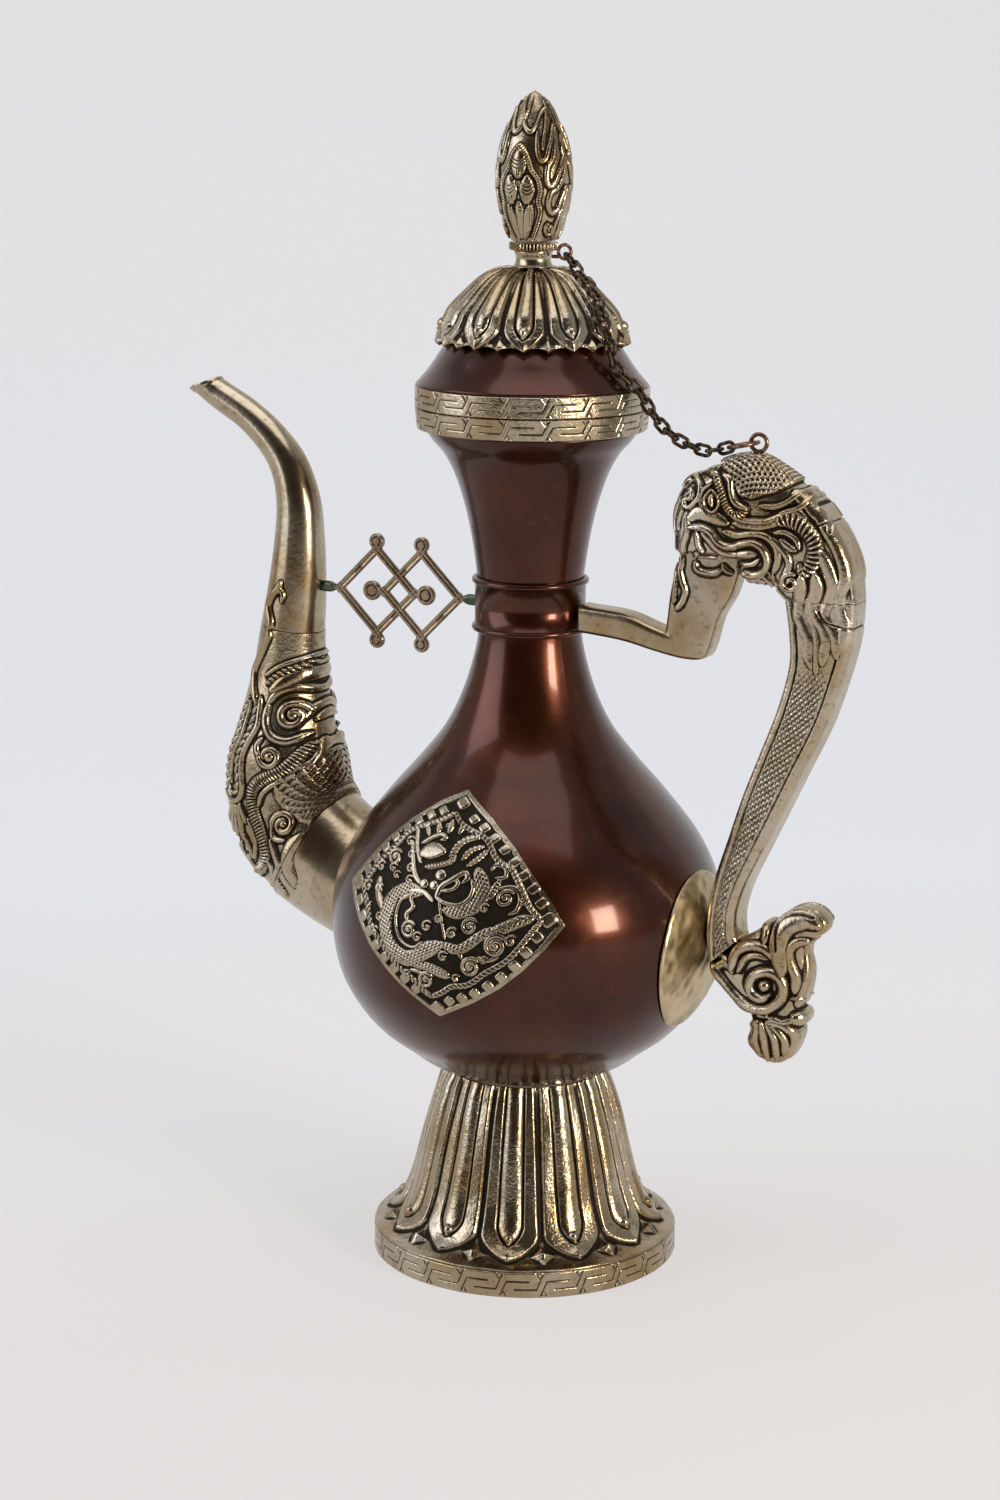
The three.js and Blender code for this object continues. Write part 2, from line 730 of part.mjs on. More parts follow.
function makaraBosses() {
  const parts = [];
  for (const [reach, rise, radius] of makaraBossShares) {
    for (const side of [-1, 1]) {
      const x = spoutRootX - spoutReach * reach;
      const z = spoutRootHeight + spoutRise * rise;
      parts.push(...spiralBoss(new THREE.Vector3(x, side * makaraHalfWidth(x, z), z), radius));
    }
  }
  return parts;
}

// How far the makara's cheek stands out from the middle plane at a place on it
function makaraHalfWidth(x, z) {
  const stations = spoutPoints.map((point, index) => ({ point, index }));
  stations.sort((a, b) => Math.abs(a.point.z - z) - Math.abs(b.point.z - z));
  const { point, index } = stations[0];
  const radius = spoutRootRadius * spoutShares[index][2];
  const share = Math.min(1, Math.abs(x - point.x) / radius);
  return radius * spoutShares[index][3] * Math.sqrt(1 - share * share) - bossWire / 2;
}

function makeSpout() {
  const bellySkin = turned(
    [[0, bellyBottom - overrun], ...setBack(bellyProfile, -seatGap).slice(1), [0, neckSeam + overrun]],
    vesselFacets,
  );
  const collar = cut(spoutPipe(0, collarSpanCount, spoutWall), bellySkin);
  add('spout_collar', collar, whiteMetal);
  add('makara_head', join(spoutPipe(collarSpanCount, headSpanCount, headWall), ...makaraBosses()), whiteMetal);

  const tip = spoutPoints[spoutEnd];
  const cutter = new THREE.BoxGeometry(2 * spoutReach, 2 * spoutRootRadius, spoutRootRadius);
  cutter.translate(0, 0, spoutRootRadius / 2);
  cutter.rotateY(-THREE.MathUtils.degToRad(mouthCutAngle));
  cutter.translate(tip.x, 0, tip.z - seatGap);
  add('spout_tube', cut(spoutPipe(headSpanCount, spoutEnd, spoutWall), cutter), whiteMetal);
}

// Strut: an endless knot of two interlaced squares, cut from flat plate

const knotHeight = neckSeam - knotDrop;

function makeKnot() {
  const tubeStation = spoutPoints.findIndex((point) => point.z > knotHeight);
  const tubeX = spoutPoints[tubeStation].x + spoutRootRadius * spoutShares[tubeStation][2];
  const centreX = (tubeX - collarRadius) / 2;
  const diamond = (x, half) => [
    [x - half, knotHeight], [x, knotHeight - half], [x + half, knotHeight], [x, knotHeight + half],
  ];
  const inner = knotHalfDiagonal - knotStrip * Math.SQRT2;
  const outerKnob = knotHalfDiagonal + knotOuterReach;
  const innerKnob = knotHalfDiagonal + knotInnerReach;
  const parts = [];
  for (const side of [-1, 1]) {
    const x = centreX + (side * knotPitch) / 2;
    parts.push(slab(diamond(x, knotHalfDiagonal), knotThickness, 0, [diamond(x, inner).reverse()]));
    for (const [knobX, knobZ, radius] of [
      [x, outerKnob, knotOuterKnob], [x, -outerKnob, knotOuterKnob], [x - side * innerKnob, 0, knotInnerKnob],
    ]) {
      const knob = new THREE.CylinderGeometry(radius, radius, knotThickness, knobFacets);
      knob.translate(knobX, 0, knotHeight + knobZ);
      parts.push(knob);
    }
    const corner = x + side * (knotHalfDiagonal - knotStrip);
    const end = side < 0 ? tubeX + seatGap : -collarRadius - seatGap;
    const pin = new THREE.BoxGeometry(Math.abs(end - corner), knotThickness, knotPin);
    pin.translate((end + corner) / 2, 0, knotHeight);
    parts.push(pin);
  }
  add('endless_knot_strut', join(...parts), whiteMetal);
}

// Handle: an arm from the collar, a beam into the dragon's mouth, the head, the grip and a scroll

const gripSeat = bellyRadius + patchGap + plateSheet + seatGap;
const handleBottom = plateHeight - scrollDrop;
const armHeight = neckSeam - armDrop;
const handleHeight = (armHeight - handleBottom) / armRiseShare;

// Outlines are shares of the reach beyond the belly and of the height above the scroll's foot
function handlePoints(shares) {
  return shares.map(([reach, rise]) => [
    gripSeat + handleReach * reach, handleBottom + handleHeight * rise,
  ]);
}

function handlePoint(reach, side, rise) {
  const [x, z] = handlePoints([[reach, rise]])[0];
  return new THREE.Vector3(x, side, z);
}

const beamShares = [
  [-0.18, 0.66], [-0.05, 0.672], [-0.015, 0.69], [0.045, 0.735], [0.14, 0.777], [0.175, 0.79],
  [0.19, 0.82], [-0.265, 0.82], [-0.3, 0.79], [-0.318, 0.76], [-0.355, 0.7],
];

// Stations along the head: reach, underside, crown, and half width as a share
const headShares = [
  [-0.325, 0.862, 0.918, 0.3], [-0.28, 0.838, 0.933, 0.6], [-0.22, 0.8235, 0.952, 0.78],
  [-0.12, 0.8235, 0.969, 0.9], [0, 0.8235, 0.981, 0.97], [0.12, 0.8235, 0.993, 1],
  [0.19, 0.8235, 0.999, 1], [0.205, 0.79, 1, 1], [0.3, 0.793, 1, 1], [0.4, 0.797, 0.993, 0.98],
  [0.49, 0.787, 0.982, 0.95], [0.52, 0.7785, 0.978, 0.94], [0.6, 0.7785, 0.966, 0.9],
  [0.71, 0.7785, 0.942, 0.84], [0.83, 0.7785, 0.909, 0.76], [0.915, 0.7785, 0.872, 0.7],
  [0.975, 0.7785, 0.83, 0.62], [1, 0.7785, 0.8, 0.5],
];

// Pairs down the grip: inner edge and outer edge
const gripShares = [
  [0.515, 0.777, 1, 0.777], [0.55, 0.72, 0.975, 0.72], [0.555, 0.668, 0.91, 0.655],
  [0.475, 0.595, 0.8, 0.575], [0.36, 0.52, 0.64, 0.49], [0.25, 0.448, 0.49, 0.412],
  [0.15, 0.37, 0.365, 0.348], [0.06, 0.3, 0.26, 0.292], [0.012, 0.245, 0.207, 0.247],
  [0, 0.2, 0.212, 0.212], [0.03, 0.158, 0.225, 0.203],
];
const scrollShares = [
  [0.038, 0.155], [0.16, 0.115], [0.285, 0.085], [0.355, 0.06], [0.32, 0.03], [0.38, 0.008], [0.5, 0],
  [0.62, 0.018], [0.68, 0.05], [0.72, 0.088], [0.66, 0.094], [0.725, 0.125], [0.742, 0.163],
  [0.725, 0.195], [0.742, 0.214], [0.855, 0.232], [0.88, 0.256], [0.81, 0.272], [0.69, 0.277],
  [0.575, 0.264], [0.48, 0.24], [0.38, 0.227], [0.24, 0.201],
];
const headSides = 12;
const headSquareness = 0.7;
const faceShares = { brow: [0.01, 0.915], nose: [-0.13, 0.915], ear: [0.62, 0.86], jaw: [0.15, 0.862] };

function makeHandle() {
  const rootX = collarRadius + seatGap;
  const arm = [[rootX, armHeight + armDepth / 2], [rootX, armHeight - armDepth / 2]];
  const beam = slab([...arm, ...handlePoints(beamShares)], armWidth, armBevel);
  add('handle_arm', toGeometry(toSolid(beam)), whiteMetal);

  add('dragon_head', join(headBody(), ...headBosses()), whiteMetal);
  add('handle_grip', gripBody(), whiteMetal);

  const scroll = slab(handlePoints(scrollShares), scrollWidth, scrollEdge);
  const volutes = [-1, 1].map((side) => handlePoint(voluteShare[0], side * scrollWidth / 2, voluteShare[1]));
  add('handle_scroll', join(scroll, ...volutes.flatMap((centre) => spiralBoss(centre, voluteRadius))), whiteMetal);
}

const voluteShare = [0.44, 0.13];

// A rounded block that runs along X, from the snout to the nape
function headBody() {
  const round = (value) => Math.sign(value) * Math.abs(value) ** headSquareness;
  return loft(headShares.map(([reach, low, high, widthShare]) => {
    const bottom = handlePoint(reach, 0, low);
    const top = handlePoint(reach, 0, high);
    return Array.from({ length: headSides }, (_, step) => {
      const turn = (2 * Math.PI * (step + 0.5)) / headSides;
      const share = (1 + round(Math.sin(turn))) / 2;
      const point = bottom.clone().lerp(top, share);
      point.y = round(Math.cos(turn)) * widthShare * (headWidth / 2);
      return point;
    });
  }));
}

// How far the head's cheek stands out at a share of its reach
function headHalfWidth(reach) {
  const widths = headShares.map(([place, , , widthShare]) => [(widthShare * headWidth) / 2, place]);
  return radiusAt(widths, reach) - bossWire / 4;
}

// Lips round the open mouth, eyes, nose curls and ears, on both sides
function headBosses() {
  const tilt = THREE.MathUtils.degToRad(mouthTilt);
  const along = new THREE.Vector3(Math.cos(tilt), 0, -Math.sin(tilt));
  const across = new THREE.Vector3(Math.sin(tilt), 0, Math.cos(tilt));
  const parts = [];
  for (const side of [-1, 1]) {
    const face = ([reach, rise]) => handlePoint(reach, side * headHalfWidth(reach), rise);
    const lips = face(faceShares.jaw);
    parts.push(wireRing(lips, across, along, mouthHalfHeight, mouthHalfLength, lipWire, wireSteps));
    const eye = new THREE.SphereGeometry(browBoss, 6, 4);
    eye.translate(...face(faceShares.brow).toArray());
    parts.push(eye, ...spiralBoss(face(faceShares.nose), curlBoss), ...spiralBoss(face(faceShares.ear), earBoss));
  }
  return parts;
}

// The grip's side faces are sunk between raised edges, with the scaled panel slightly domed
function gripBody() {
  const half = gripWidth / 2;
  const rings = gripShares.map(([innerX, innerZ, outerX, outerZ]) => {
    const inner = handlePoint(innerX, 0, innerZ);
    const outer = handlePoint(outerX, 0, outerZ);
    const depth = inner.distanceTo(outer);
    const section = [
      [0, -half + gripEdge], [gripEdge, -half], [panelMargin, -half],
      [panelMargin + panelDepth, -half + panelDepth], [depth / 2, -half + panelDepth / 2],
      [depth - panelMargin - panelDepth, -half + panelDepth], [depth - panelMargin, -half],
      [depth - gripEdge, -half], [depth, -half + gripEdge],
    ];
    const mirrored = section.map(([place, side]) => [place, -side]).reverse();
    const along = outer.clone().sub(inner).normalize();
    return [...section, ...mirrored].map(([place, side]) => {
      const point = inner.clone().addScaledVector(along, place);
      point.y = side;
      return point;
    });
  });
  return loft(rings);
}

// Chain: from the eye on the finial's stem, over the lid, to the eye on the dragon's crown

const lidEyeCentre = new THREE.Vector3(
  stemCollarRadius + lidEyeRadius + lidEyeWire / 2 + seatGap, 0, stemBottom + stemHeight,
);
const handleEyeCentre = handlePoint(handleEyeShare, 0, 1);
handleEyeCentre.z += handleEyeLift;

function makeEyes() {
  const across = new THREE.Vector3(1, 0, 0);
  const up = new THREE.Vector3(0, 0, 1);
  const eye = wireRing(lidEyeCentre, across, up, lidEyeRadius, lidEyeRadius, lidEyeWire, wireSteps);
  const foot = lidEyeCentre.clone();
  foot.addScaledVector(across, -lidEyeRadius * Math.SQRT1_2).addScaledVector(up, -lidEyeRadius * Math.SQRT1_2);
  const root = new THREE.Vector3(stemRadius + seatGap, 0, foot.z);
  add('lid_eye', join(eye, bar(root, foot, lidEyeWire * eyePostShare, wireSteps)), eyeCopper);

  const loop = wireRing(handleEyeCentre, across, up, handleEyeRadius, handleEyeRadius, handleEyeWire, wireSteps);
  const base = handleEyeCentre.clone().addScaledVector(up, -handleEyeRadius);
  const seat = handlePoint(handleEyeShare, 0, 1);
  seat.z += seatGap;
  add('handle_eye', join(loop, bar(seat, base, handleEyeWire * eyePostShare, wireSteps)), eyeCopper);
}

// Where the chain lies on the lid: height share and turn towards the front, in degrees
const chainOnCapShares = [[0.86, 5], [0.6, 12], [0.34, 17], [0.1, 18]];
const chainOnDomeShares = [[0.22, 15], [0.07, 11]];
const chainLift = linkWidth / 2 + linkWire / 2 + seatGap;

function chainGuide() {
  const side = (degrees) => -THREE.MathUtils.degToRad(degrees);
  const start = lidEyeCentre.clone();
  start.x += lidEyeRadius * eyePullShare;
  start.z -= lidEyeRadius * eyePullShare;
  const points = [start];
  for (const [share, degrees] of chainOnCapShares) {
    points.push(onSurface(capProfile, capBottom + capHeight * share, side(degrees), capRelief + chainLift));
  }
  for (const [share, degrees] of chainOnDomeShares) {
    points.push(onSurface(domeProfile, domeBottom + domeHeight * share, side(degrees), chainLift));
  }
  const rim = new THREE.Vector3(mouthRadius, 0, lidBandTop);
  rim.x += chainLift * rimLiftShares.out;
  rim.z += chainLift * rimLiftShares.up;
  rim.applyAxisAngle(new THREE.Vector3(0, 0, 1), side(chainRimTurn));
  points.push(rim);
  for (const [share, drop] of chainSagShares) {
    const point = rim.clone().lerp(chainEnd, share);
    point.z -= chainSag * drop;
    points.push(point);
  }
  const beyond = chainEnd.clone();
  beyond.x += 2 * endRingRadius;
  points.push(chainEnd, beyond);
  return new THREE.CatmullRomCurve3(points, false, 'centripetal');
}

// How far the links stand from each other where they cross, between the middles of their wires
const linkCrossing = linkWire + linkPlay;
const chainEnd = handleEyeCentre.clone();
chainEnd.x -= handleEyeRadius * ringPullShare + 2 * endRingRadius;
chainEnd.z -= endRingDip;

// Steps along the guide: whole links lie flat, and each link between them reaches back over both
function chainPivots(fine, length) {
  const pivots = [fine[0]];
  let index = 0;
  for (let link = 0; link < linkCount; link += 1) {
    const span = link % 2 === 0 ? length : length - 2 * linkCrossing;
    const from = pivots[pivots.length - 1];
    while (index < fine.length - 1 && fine[index].distanceTo(from) < span) index += 1;
    const before = fine[index - 1];
    const reach = (span - before.distanceTo(from)) / (fine[index].distanceTo(from) - before.distanceTo(from));
    pivots.push(before.clone().lerp(fine[index], reach));
  }
  return pivots;
}

// Finds the link length with which the last link ends at the big ring
function hungChain() {
  const fine = chainGuide().getSpacedPoints(guideSteps);
  let [short, long] = [2 * linkCrossing, linkWidth * longestLinkShare];
  for (let round = 0; round < lengthRounds; round += 1) {
    const length = (short + long) / 2;
    if (chainPivots(fine, length)[linkCount].x > chainEnd.x) long = length;
    else short = length;
  }
  const pivots = chainPivots(fine, short);
  pivots[linkCount] = chainEnd.clone();
  return { pivots, linkLength: short };
}

const guideSteps = 4000;
const lengthRounds = 26;
const longestLinkShare = 4;

function makeChain() {
  const { pivots, linkLength } = hungChain();
  for (let link = 0; link < linkCount; link += 1) {
    const [from, to] = [pivots[link], pivots[link + 1]];
    const along = to.clone().sub(from).normalize();
    const level = new THREE.Vector3(0, 1, 0);
    level.addScaledVector(along, -level.dot(along)).normalize();
    const upright = level.clone().cross(along).normalize();
    const across = link % 2 === 0 ? level : upright;
    const centre = from.clone().lerp(to, 1 / 2);
    const geometry = wireRing(centre, across, along, linkWidth / 2, linkLength / 2, linkWire, wireSteps);
    const number = String(link + 1).padStart(2, '0');
    add(`chain_link_${number}`, geometry, chainMetal);
  }
  const far = handleEyeCentre.clone();
  far.x -= handleEyeRadius * ringPullShare;
  const along = far.clone().sub(chainEnd).normalize();
  const centre = chainEnd.clone().lerp(far, 1 / 2);
  const level = new THREE.Vector3(0, 1, 0);
  const half = chainEnd.distanceTo(far) / 2;
  add('chain_ring', wireRing(centre, level, along, half, half, endRingWire, endRingSteps), eyeCopper);
  return pivots;
}

makeFoot();
makeVessel();
makeMouthRing();
makeLid();
makeFinial();
makeMedallions();
makeHandlePlate();
makeSpout();
makeKnot();
makeHandle();
makeEyes();
makeChain();

// The origin is under the middle of the whole ewer, on the surface that it stands on
const extent = new THREE.Box3().setFromObject(onAxis);
onAxis.position.x = -(extent.min.x + extent.max.x) / 2;
ewer.updateMatrixWorld(true);

export default ewer;
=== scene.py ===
import json
import math
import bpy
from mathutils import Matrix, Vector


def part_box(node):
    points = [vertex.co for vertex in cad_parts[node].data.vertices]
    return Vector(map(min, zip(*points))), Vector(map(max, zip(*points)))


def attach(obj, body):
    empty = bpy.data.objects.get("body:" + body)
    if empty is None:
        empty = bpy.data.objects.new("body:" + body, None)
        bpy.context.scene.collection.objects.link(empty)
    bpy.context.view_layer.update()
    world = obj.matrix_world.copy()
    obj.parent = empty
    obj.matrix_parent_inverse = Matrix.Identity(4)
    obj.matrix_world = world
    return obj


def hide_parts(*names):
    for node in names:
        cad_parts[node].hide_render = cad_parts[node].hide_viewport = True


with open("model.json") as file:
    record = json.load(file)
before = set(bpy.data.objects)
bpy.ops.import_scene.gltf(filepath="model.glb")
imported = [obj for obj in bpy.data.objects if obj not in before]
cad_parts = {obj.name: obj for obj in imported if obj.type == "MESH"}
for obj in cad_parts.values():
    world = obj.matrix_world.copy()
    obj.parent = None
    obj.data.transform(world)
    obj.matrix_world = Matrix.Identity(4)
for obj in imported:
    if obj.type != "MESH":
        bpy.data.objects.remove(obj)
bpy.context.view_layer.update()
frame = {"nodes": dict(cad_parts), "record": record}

from types import SimpleNamespace

import bmesh
import bpy
import numpy as np
from mathutils import Matrix, Vector

# The camera stands where the photographer stood: a little above the lid, turned rather more
# than a quarter of a right angle towards the handle, with a short telephoto lens. Sizes are in
# millimetres from the vessel's own axis, and one scale turns them to metres.

MM = 0.001
foot_low, foot_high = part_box("foot_band")
vessel_axis = Vector(((foot_low.x + foot_high.x) / 2, (foot_low.y + foot_high.y) / 2, 0))

camera_distance = 1078.1
camera_height = 421.9
camera_turn = math.radians(26)
camera_yaw = math.radians(-0.526)
camera_pitch = math.radians(12.744)
camera_roll = math.radians(0.413)
photo_height_px = 1500
lens_px = 3231.7


def turned_round(vector, angle):
    return Matrix.Rotation(angle, 3, "Z") @ Vector(vector)


ahead = Vector((
    math.sin(camera_yaw) * math.cos(camera_pitch),
    math.cos(camera_yaw) * math.cos(camera_pitch),
    -math.sin(camera_pitch),
))
level_right = ahead.cross(Vector((0, 0, 1))).normalized()
level_up = level_right.cross(ahead)
right = math.cos(camera_roll) * level_right + math.sin(camera_roll) * level_up
up = math.cos(camera_roll) * level_up - math.sin(camera_roll) * level_right
stand = turned_round((0, -camera_distance, camera_height), camera_turn) * MM + vessel_axis
axes = [turned_round(axis, camera_turn) for axis in (right, up, -ahead)]

camera_data = bpy.data.cameras.new("camera")
camera_data.sensor_fit = "VERTICAL"
camera_data.sensor_height = 36
camera_data.lens = camera_data.sensor_height * lens_px / photo_height_px
camera_data.clip_end = 20
camera = bpy.data.objects.new("camera", camera_data)
camera.matrix_world = Matrix.Translation(stand) @ Matrix(axes).transposed().to_4x4()
bpy.context.collection.objects.link(camera)
bpy.context.scene.camera = camera
bpy.context.scene.view_settings.view_transform = "Standard"

# The studio, in metres: a roll of pale paper that runs from the table up the wall behind it, a
# large window on the left, a soft lamp on the right and a white ceiling over all.


def linear(hex_colour):
    """An sRGB hex colour as linear RGBA."""
    parts = [int(hex_colour[i:i + 2], 16) / 255 for i in (1, 3, 5)]
    return [p / 12.92 if p <= 0.04045 else ((p + 0.055) / 1.055) ** 2.4 for p in parts] + [1]


def add_node(tree, kind, settings=None, inputs=None):
    """Adds a node, sets its properties, gives each input a value or a link; returns its outputs."""
    made = tree.nodes.new(kind)
    for name, value in (settings or {}).items():
        setattr(made, name, value)
    for name, value in (inputs or {}).items():
        if isinstance(value, bpy.types.NodeSocket):
            tree.links.new(value, made.inputs[name])
        else:
            made.inputs[name].default_value = value
    return made.outputs


def new_material(name):
    material = bpy.data.materials.new(name)
    material.use_nodes = True
    material.node_tree.nodes.clear()
    return material, material.node_tree


paper_half_width = 3
paper_front = -2.2
paper_bend = 1.3
paper_back = 1.9
paper_top = 3.6
bend_steps = 24
shown_evenly = 0.75
paper_line = [(paper_front, 0), (paper_back - paper_bend, 0)]
for step in range(1, bend_steps + 1):
    turn = math.pi / 2 * step / bend_steps
    paper_line.append((
        paper_back - paper_bend + paper_bend * math.sin(turn),
        paper_bend - paper_bend * math.cos(turn),
    ))
paper_line.append((paper_back, paper_top))
paper_mesh = bpy.data.meshes.new("paper_roll")
paper_points = [
    turned_round((side * paper_half_width, y, z), camera_turn) + vessel_axis
    for y, z in paper_line for side in (-1, 1)
]
paper_mesh.from_pydata(paper_points, [], [
    (2 * i, 2 * i + 1, 2 * i + 3, 2 * i + 2) for i in range(len(paper_line) - 1)
])
for face in paper_mesh.polygons:
    face.use_smooth = True
paper = bpy.data.objects.new("paper_roll", paper_mesh)
bpy.context.collection.objects.link(paper)
steps_along = [math.dist(a, b) for a, b in zip(paper_line[:-1], paper_line[1:])]
run = np.cumsum([0] + steps_along) + paper_front
paper_mesh.attributes.new("along_paper", "FLOAT", "POINT").data.foreach_set("value", np.repeat(run, 2))
paper_material, tree = new_material("matt_pale_paper")
# Matt pale paper whose colour runs from faintly warm near the camera to a painted bluish tint of
# sky light on its bend. A part of this colour, painted tint included, is shown evenly to the camera and to
# what mirrors it; the rest takes the shadow.
run = add_node(tree, "ShaderNodeAttribute", {"attribute_name": "along_paper"})["Fac"]
far = add_node(tree, "ShaderNodeMapRange", inputs={"Value": run, "From Min": -0.1, "From Max": 0.55})[0]
high = add_node(tree, "ShaderNodeMapRange", inputs={"Value": run, "From Min": 1.0, "From Max": 2.1})[0]
# The bluish mid colour is painted sky light on the paper, not the paper's own colour
paper_tone_and_painted_sky_tint = add_node(tree, "ShaderNodeMix", {"data_type": "RGBA"}, {
    0: far, 6: linear("#e4e0de"), 7: linear("#e9eaee"),
})[2]
paper_tone_and_painted_sky_tint = add_node(tree, "ShaderNodeMix", {"data_type": "RGBA"}, {0: high, 6: paper_tone_and_painted_sky_tint, 7: linear("#edebe9")})[2]
paper_skin = add_node(tree, "ShaderNodeBsdfPrincipled", inputs={
    "Base Color": paper_tone_and_painted_sky_tint, "Roughness": 0.8, "Specular IOR Level": 0.2,
})
shown = add_node(tree, "ShaderNodeEmission", inputs={"Color": paper_tone_and_painted_sky_tint, "Strength": 1})
path = add_node(tree, "ShaderNodeLightPath")
mirrored = add_node(tree, "ShaderNodeMath", {"operation": "MAXIMUM"}, {
    0: path["Is Glossy Ray"], 1: path["Is Transmission Ray"],
})[0]
direct = add_node(tree, "ShaderNodeMath", {"operation": "MAXIMUM"}, {
    0: path["Is Camera Ray"], 1: mirrored,
})[0]
even = add_node(tree, "ShaderNodeMath", {"operation": "MULTIPLY"}, {0: direct, 1: shown_evenly})[0]
mix = add_node(tree, "ShaderNodeMixShader", inputs={0: even, 1: paper_skin[0], 2: shown[0]})
add_node(tree, "ShaderNodeOutputMaterial", inputs={"Surface": mix[0]})
paper_mesh.materials.append(paper_material)

world = bpy.data.worlds.new("white_room")
bpy.context.scene.world = world
world.use_nodes = True
tree = world.node_tree
tree.nodes.clear()
place = add_node(tree, "ShaderNodeTexCoord")["Generated"]
height = add_node(tree, "ShaderNodeSeparateXYZ", inputs={"Vector": place})["Z"]
share = add_node(tree, "ShaderNodeMapRange", inputs={"Value": height, "From Min": -0.4, "From Max": 0.6})[0]
sky = add_node(tree, "ShaderNodeMix", {"data_type": "RGBA"}, {
    0: share, 6: linear("#cbb9a4"), 7: linear("#c3cbd6"),
})[2]
# The room is dim behind the camera, which gives the metal its dark reflections
to_camera = tuple(turned_round((0, -1, 0), camera_turn))
facing = add_node(tree, "ShaderNodeVectorMath", {"operation": "DOT_PRODUCT"}, {
    0: place, 1: to_camera,
})["Value"]
dim = add_node(tree, "ShaderNodeMapRange", inputs={"Value": facing, "From Min": 0.05, "From Max": 0.65})[0]
sky = add_node(tree, "ShaderNodeMix", {"data_type": "RGBA"}, {0: dim, 6: sky, 7: linear("#443b32")})[2]
# Seen straight, past the paper's ends, the room is as pale as the paper
straight = add_node(tree, "ShaderNodeLightPath")["Is Camera Ray"]
sky = add_node(tree, "ShaderNodeMix", {"data_type": "RGBA"}, {0: straight, 6: sky, 7: linear("#ffffff")})[2]
background = add_node(tree, "ShaderNodeBackground", inputs={"Color": sky, "Strength": 0.75})
add_node(tree, "ShaderNodeOutputWorld", inputs={"Surface": background[0]})

lamp_aim = vessel_axis + Vector((0, 0, 0.2))


def soft_lamp(name, azimuth, elevation, distance, size, power, colour):
    """A flat lamp aimed at the vessel's middle, at an azimuth in degrees to the camera's right."""
    data = bpy.data.lights.new(name, "AREA")
    data.shape = "RECTANGLE"
    data.size, data.size_y = size
    data.energy = power
    data.color = linear(colour)[:3]
    lamp = bpy.data.objects.new(name, data)
    turn = camera_turn + math.radians(azimuth)
    tilt = math.radians(elevation)
    out = Vector((math.sin(turn) * math.cos(tilt), -math.cos(turn) * math.cos(tilt), math.sin(tilt)))
    lamp.location = lamp_aim + out * distance
    lamp.rotation_euler = out.to_track_quat("Z", "Y").to_euler()
    bpy.context.collection.objects.link(lamp)


soft_lamp("left_window", -75, 22, 1.6, (1.1, 1.3), 13, "#e8eeff")
soft_lamp("right_lamp", 46, 12, 1.3, (0.32, 0.42), 13, "#fff3e3")
soft_lamp("ceiling", 0, 86, 1.7, (1.6, 1.6), 14, "#fbfaff")

# The vessel's belly and neck are raised from copper sheet by hammering over stakes, then
# rubbed with a dark red-brown patina and oil. They meet under the collar.

copper_dark = "#341508"
copper_warm = "#53250d"
copper_worn = "#74431f"
vessel_around = 224
sheet_wall = 1.3
weld_distance = 2e-6
steps_per_piece = 24


def as_object(mesh, material, body):
    """Puts a finished mesh into the scene, with its material, on the CAD body that carries it."""
    piece = bpy.data.objects.new(mesh.name, mesh)
    bpy.context.collection.objects.link(piece)
    piece.data.materials.append(material)
    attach(piece, body)
    return piece


def surface(name, points, wrap=True, loop=False):
    """A smooth mesh over rows of points in millimetres, and maybe of the relief's height there."""
    rows, columns = points.shape[:2]
    index = np.arange(rows * columns).reshape(rows, columns)
    if wrap:
        index = np.hstack([index, index[:, :1]])
    if loop:
        index = np.vstack([index, index[:1]])
    quads = np.stack([index[:-1, :-1], index[:-1, 1:], index[1:, 1:], index[1:, :-1]], -1)
    mesh = bpy.data.meshes.new(name)
    places = points[..., :3].reshape(-1, 3) * MM + np.array(vessel_axis)
    mesh.from_pydata(places.tolist(), [], quads.reshape(-1, 4).tolist())
    if points.shape[2] == 4:
        height = mesh.attributes.new("raised_mm", "FLOAT", "POINT")
        height.data.foreach_set("value", points[..., 3].ravel().astype(np.float32))
    tidy = bmesh.new()
    tidy.from_mesh(mesh)
    bmesh.ops.remove_doubles(tidy, verts=tidy.verts, dist=weld_distance)
    bmesh.ops.recalc_face_normals(tidy, faces=tidy.faces)
    tidy.to_mesh(mesh)
    tidy.free()
    mesh.shade_smooth()
    return mesh


def travel_along(points):
    """The distance travelled along a line, at each of its points."""
    return np.concatenate([[0], np.cumsum(np.linalg.norm(np.diff(points, axis=0), axis=1))])


def smooth_line(points, count):
    """A smooth line through points, by Catmull-Rom pieces, at evenly spaced places."""
    points = np.asarray(points, float)
    padded = np.vstack([2 * points[0] - points[1], points, 2 * points[-1] - points[-2]])
    fine = []
    for i in range(1, len(padded) - 2):
        before, start, end, after = padded[i - 1:i + 3]
        t = np.linspace(0, 1, steps_per_piece, endpoint=False)[:, None]
        fine.append(0.5 * (
            2 * start + (end - before) * t + (2 * before - 5 * start + 4 * end - after) * t ** 2
            + (3 * start - before - 3 * end + after) * t ** 3
        ))
    fine = np.vstack(fine + [points[-1:]])
    travelled = travel_along(fine)
    wanted = np.linspace(0, travelled[-1], count)
    return np.stack([np.interp(wanted, travelled, fine[:, k]) for k in range(fine.shape[1])], 1)


def outward(profile):
    """The outward normals of a profile of radius and height that runs upwards."""
    along = np.gradient(profile, axis=0)
    normal = np.stack([along[:, 1], -along[:, 0]], 1)
    return normal / np.maximum(1e-9, np.linalg.norm(normal, axis=1, keepdims=True))


def round_turns(count):
    """Evenly spaced angles once round."""
    return 2 * np.pi * np.arange(count) / count


def about_axis(radius, turn, height):
    """Points at a radius, a turn and a height about the vessel's axis."""
    x, y = radius * np.cos(turn), radius * np.sin(turn)
    return np.stack([x, y, np.broadcast_to(height, x.shape)], -1)


def spun(profile, around):
    """Rows of points round the axis from a profile of radius and height."""
    return about_axis(profile[:, :1], round_turns(around), profile[:, 1:])


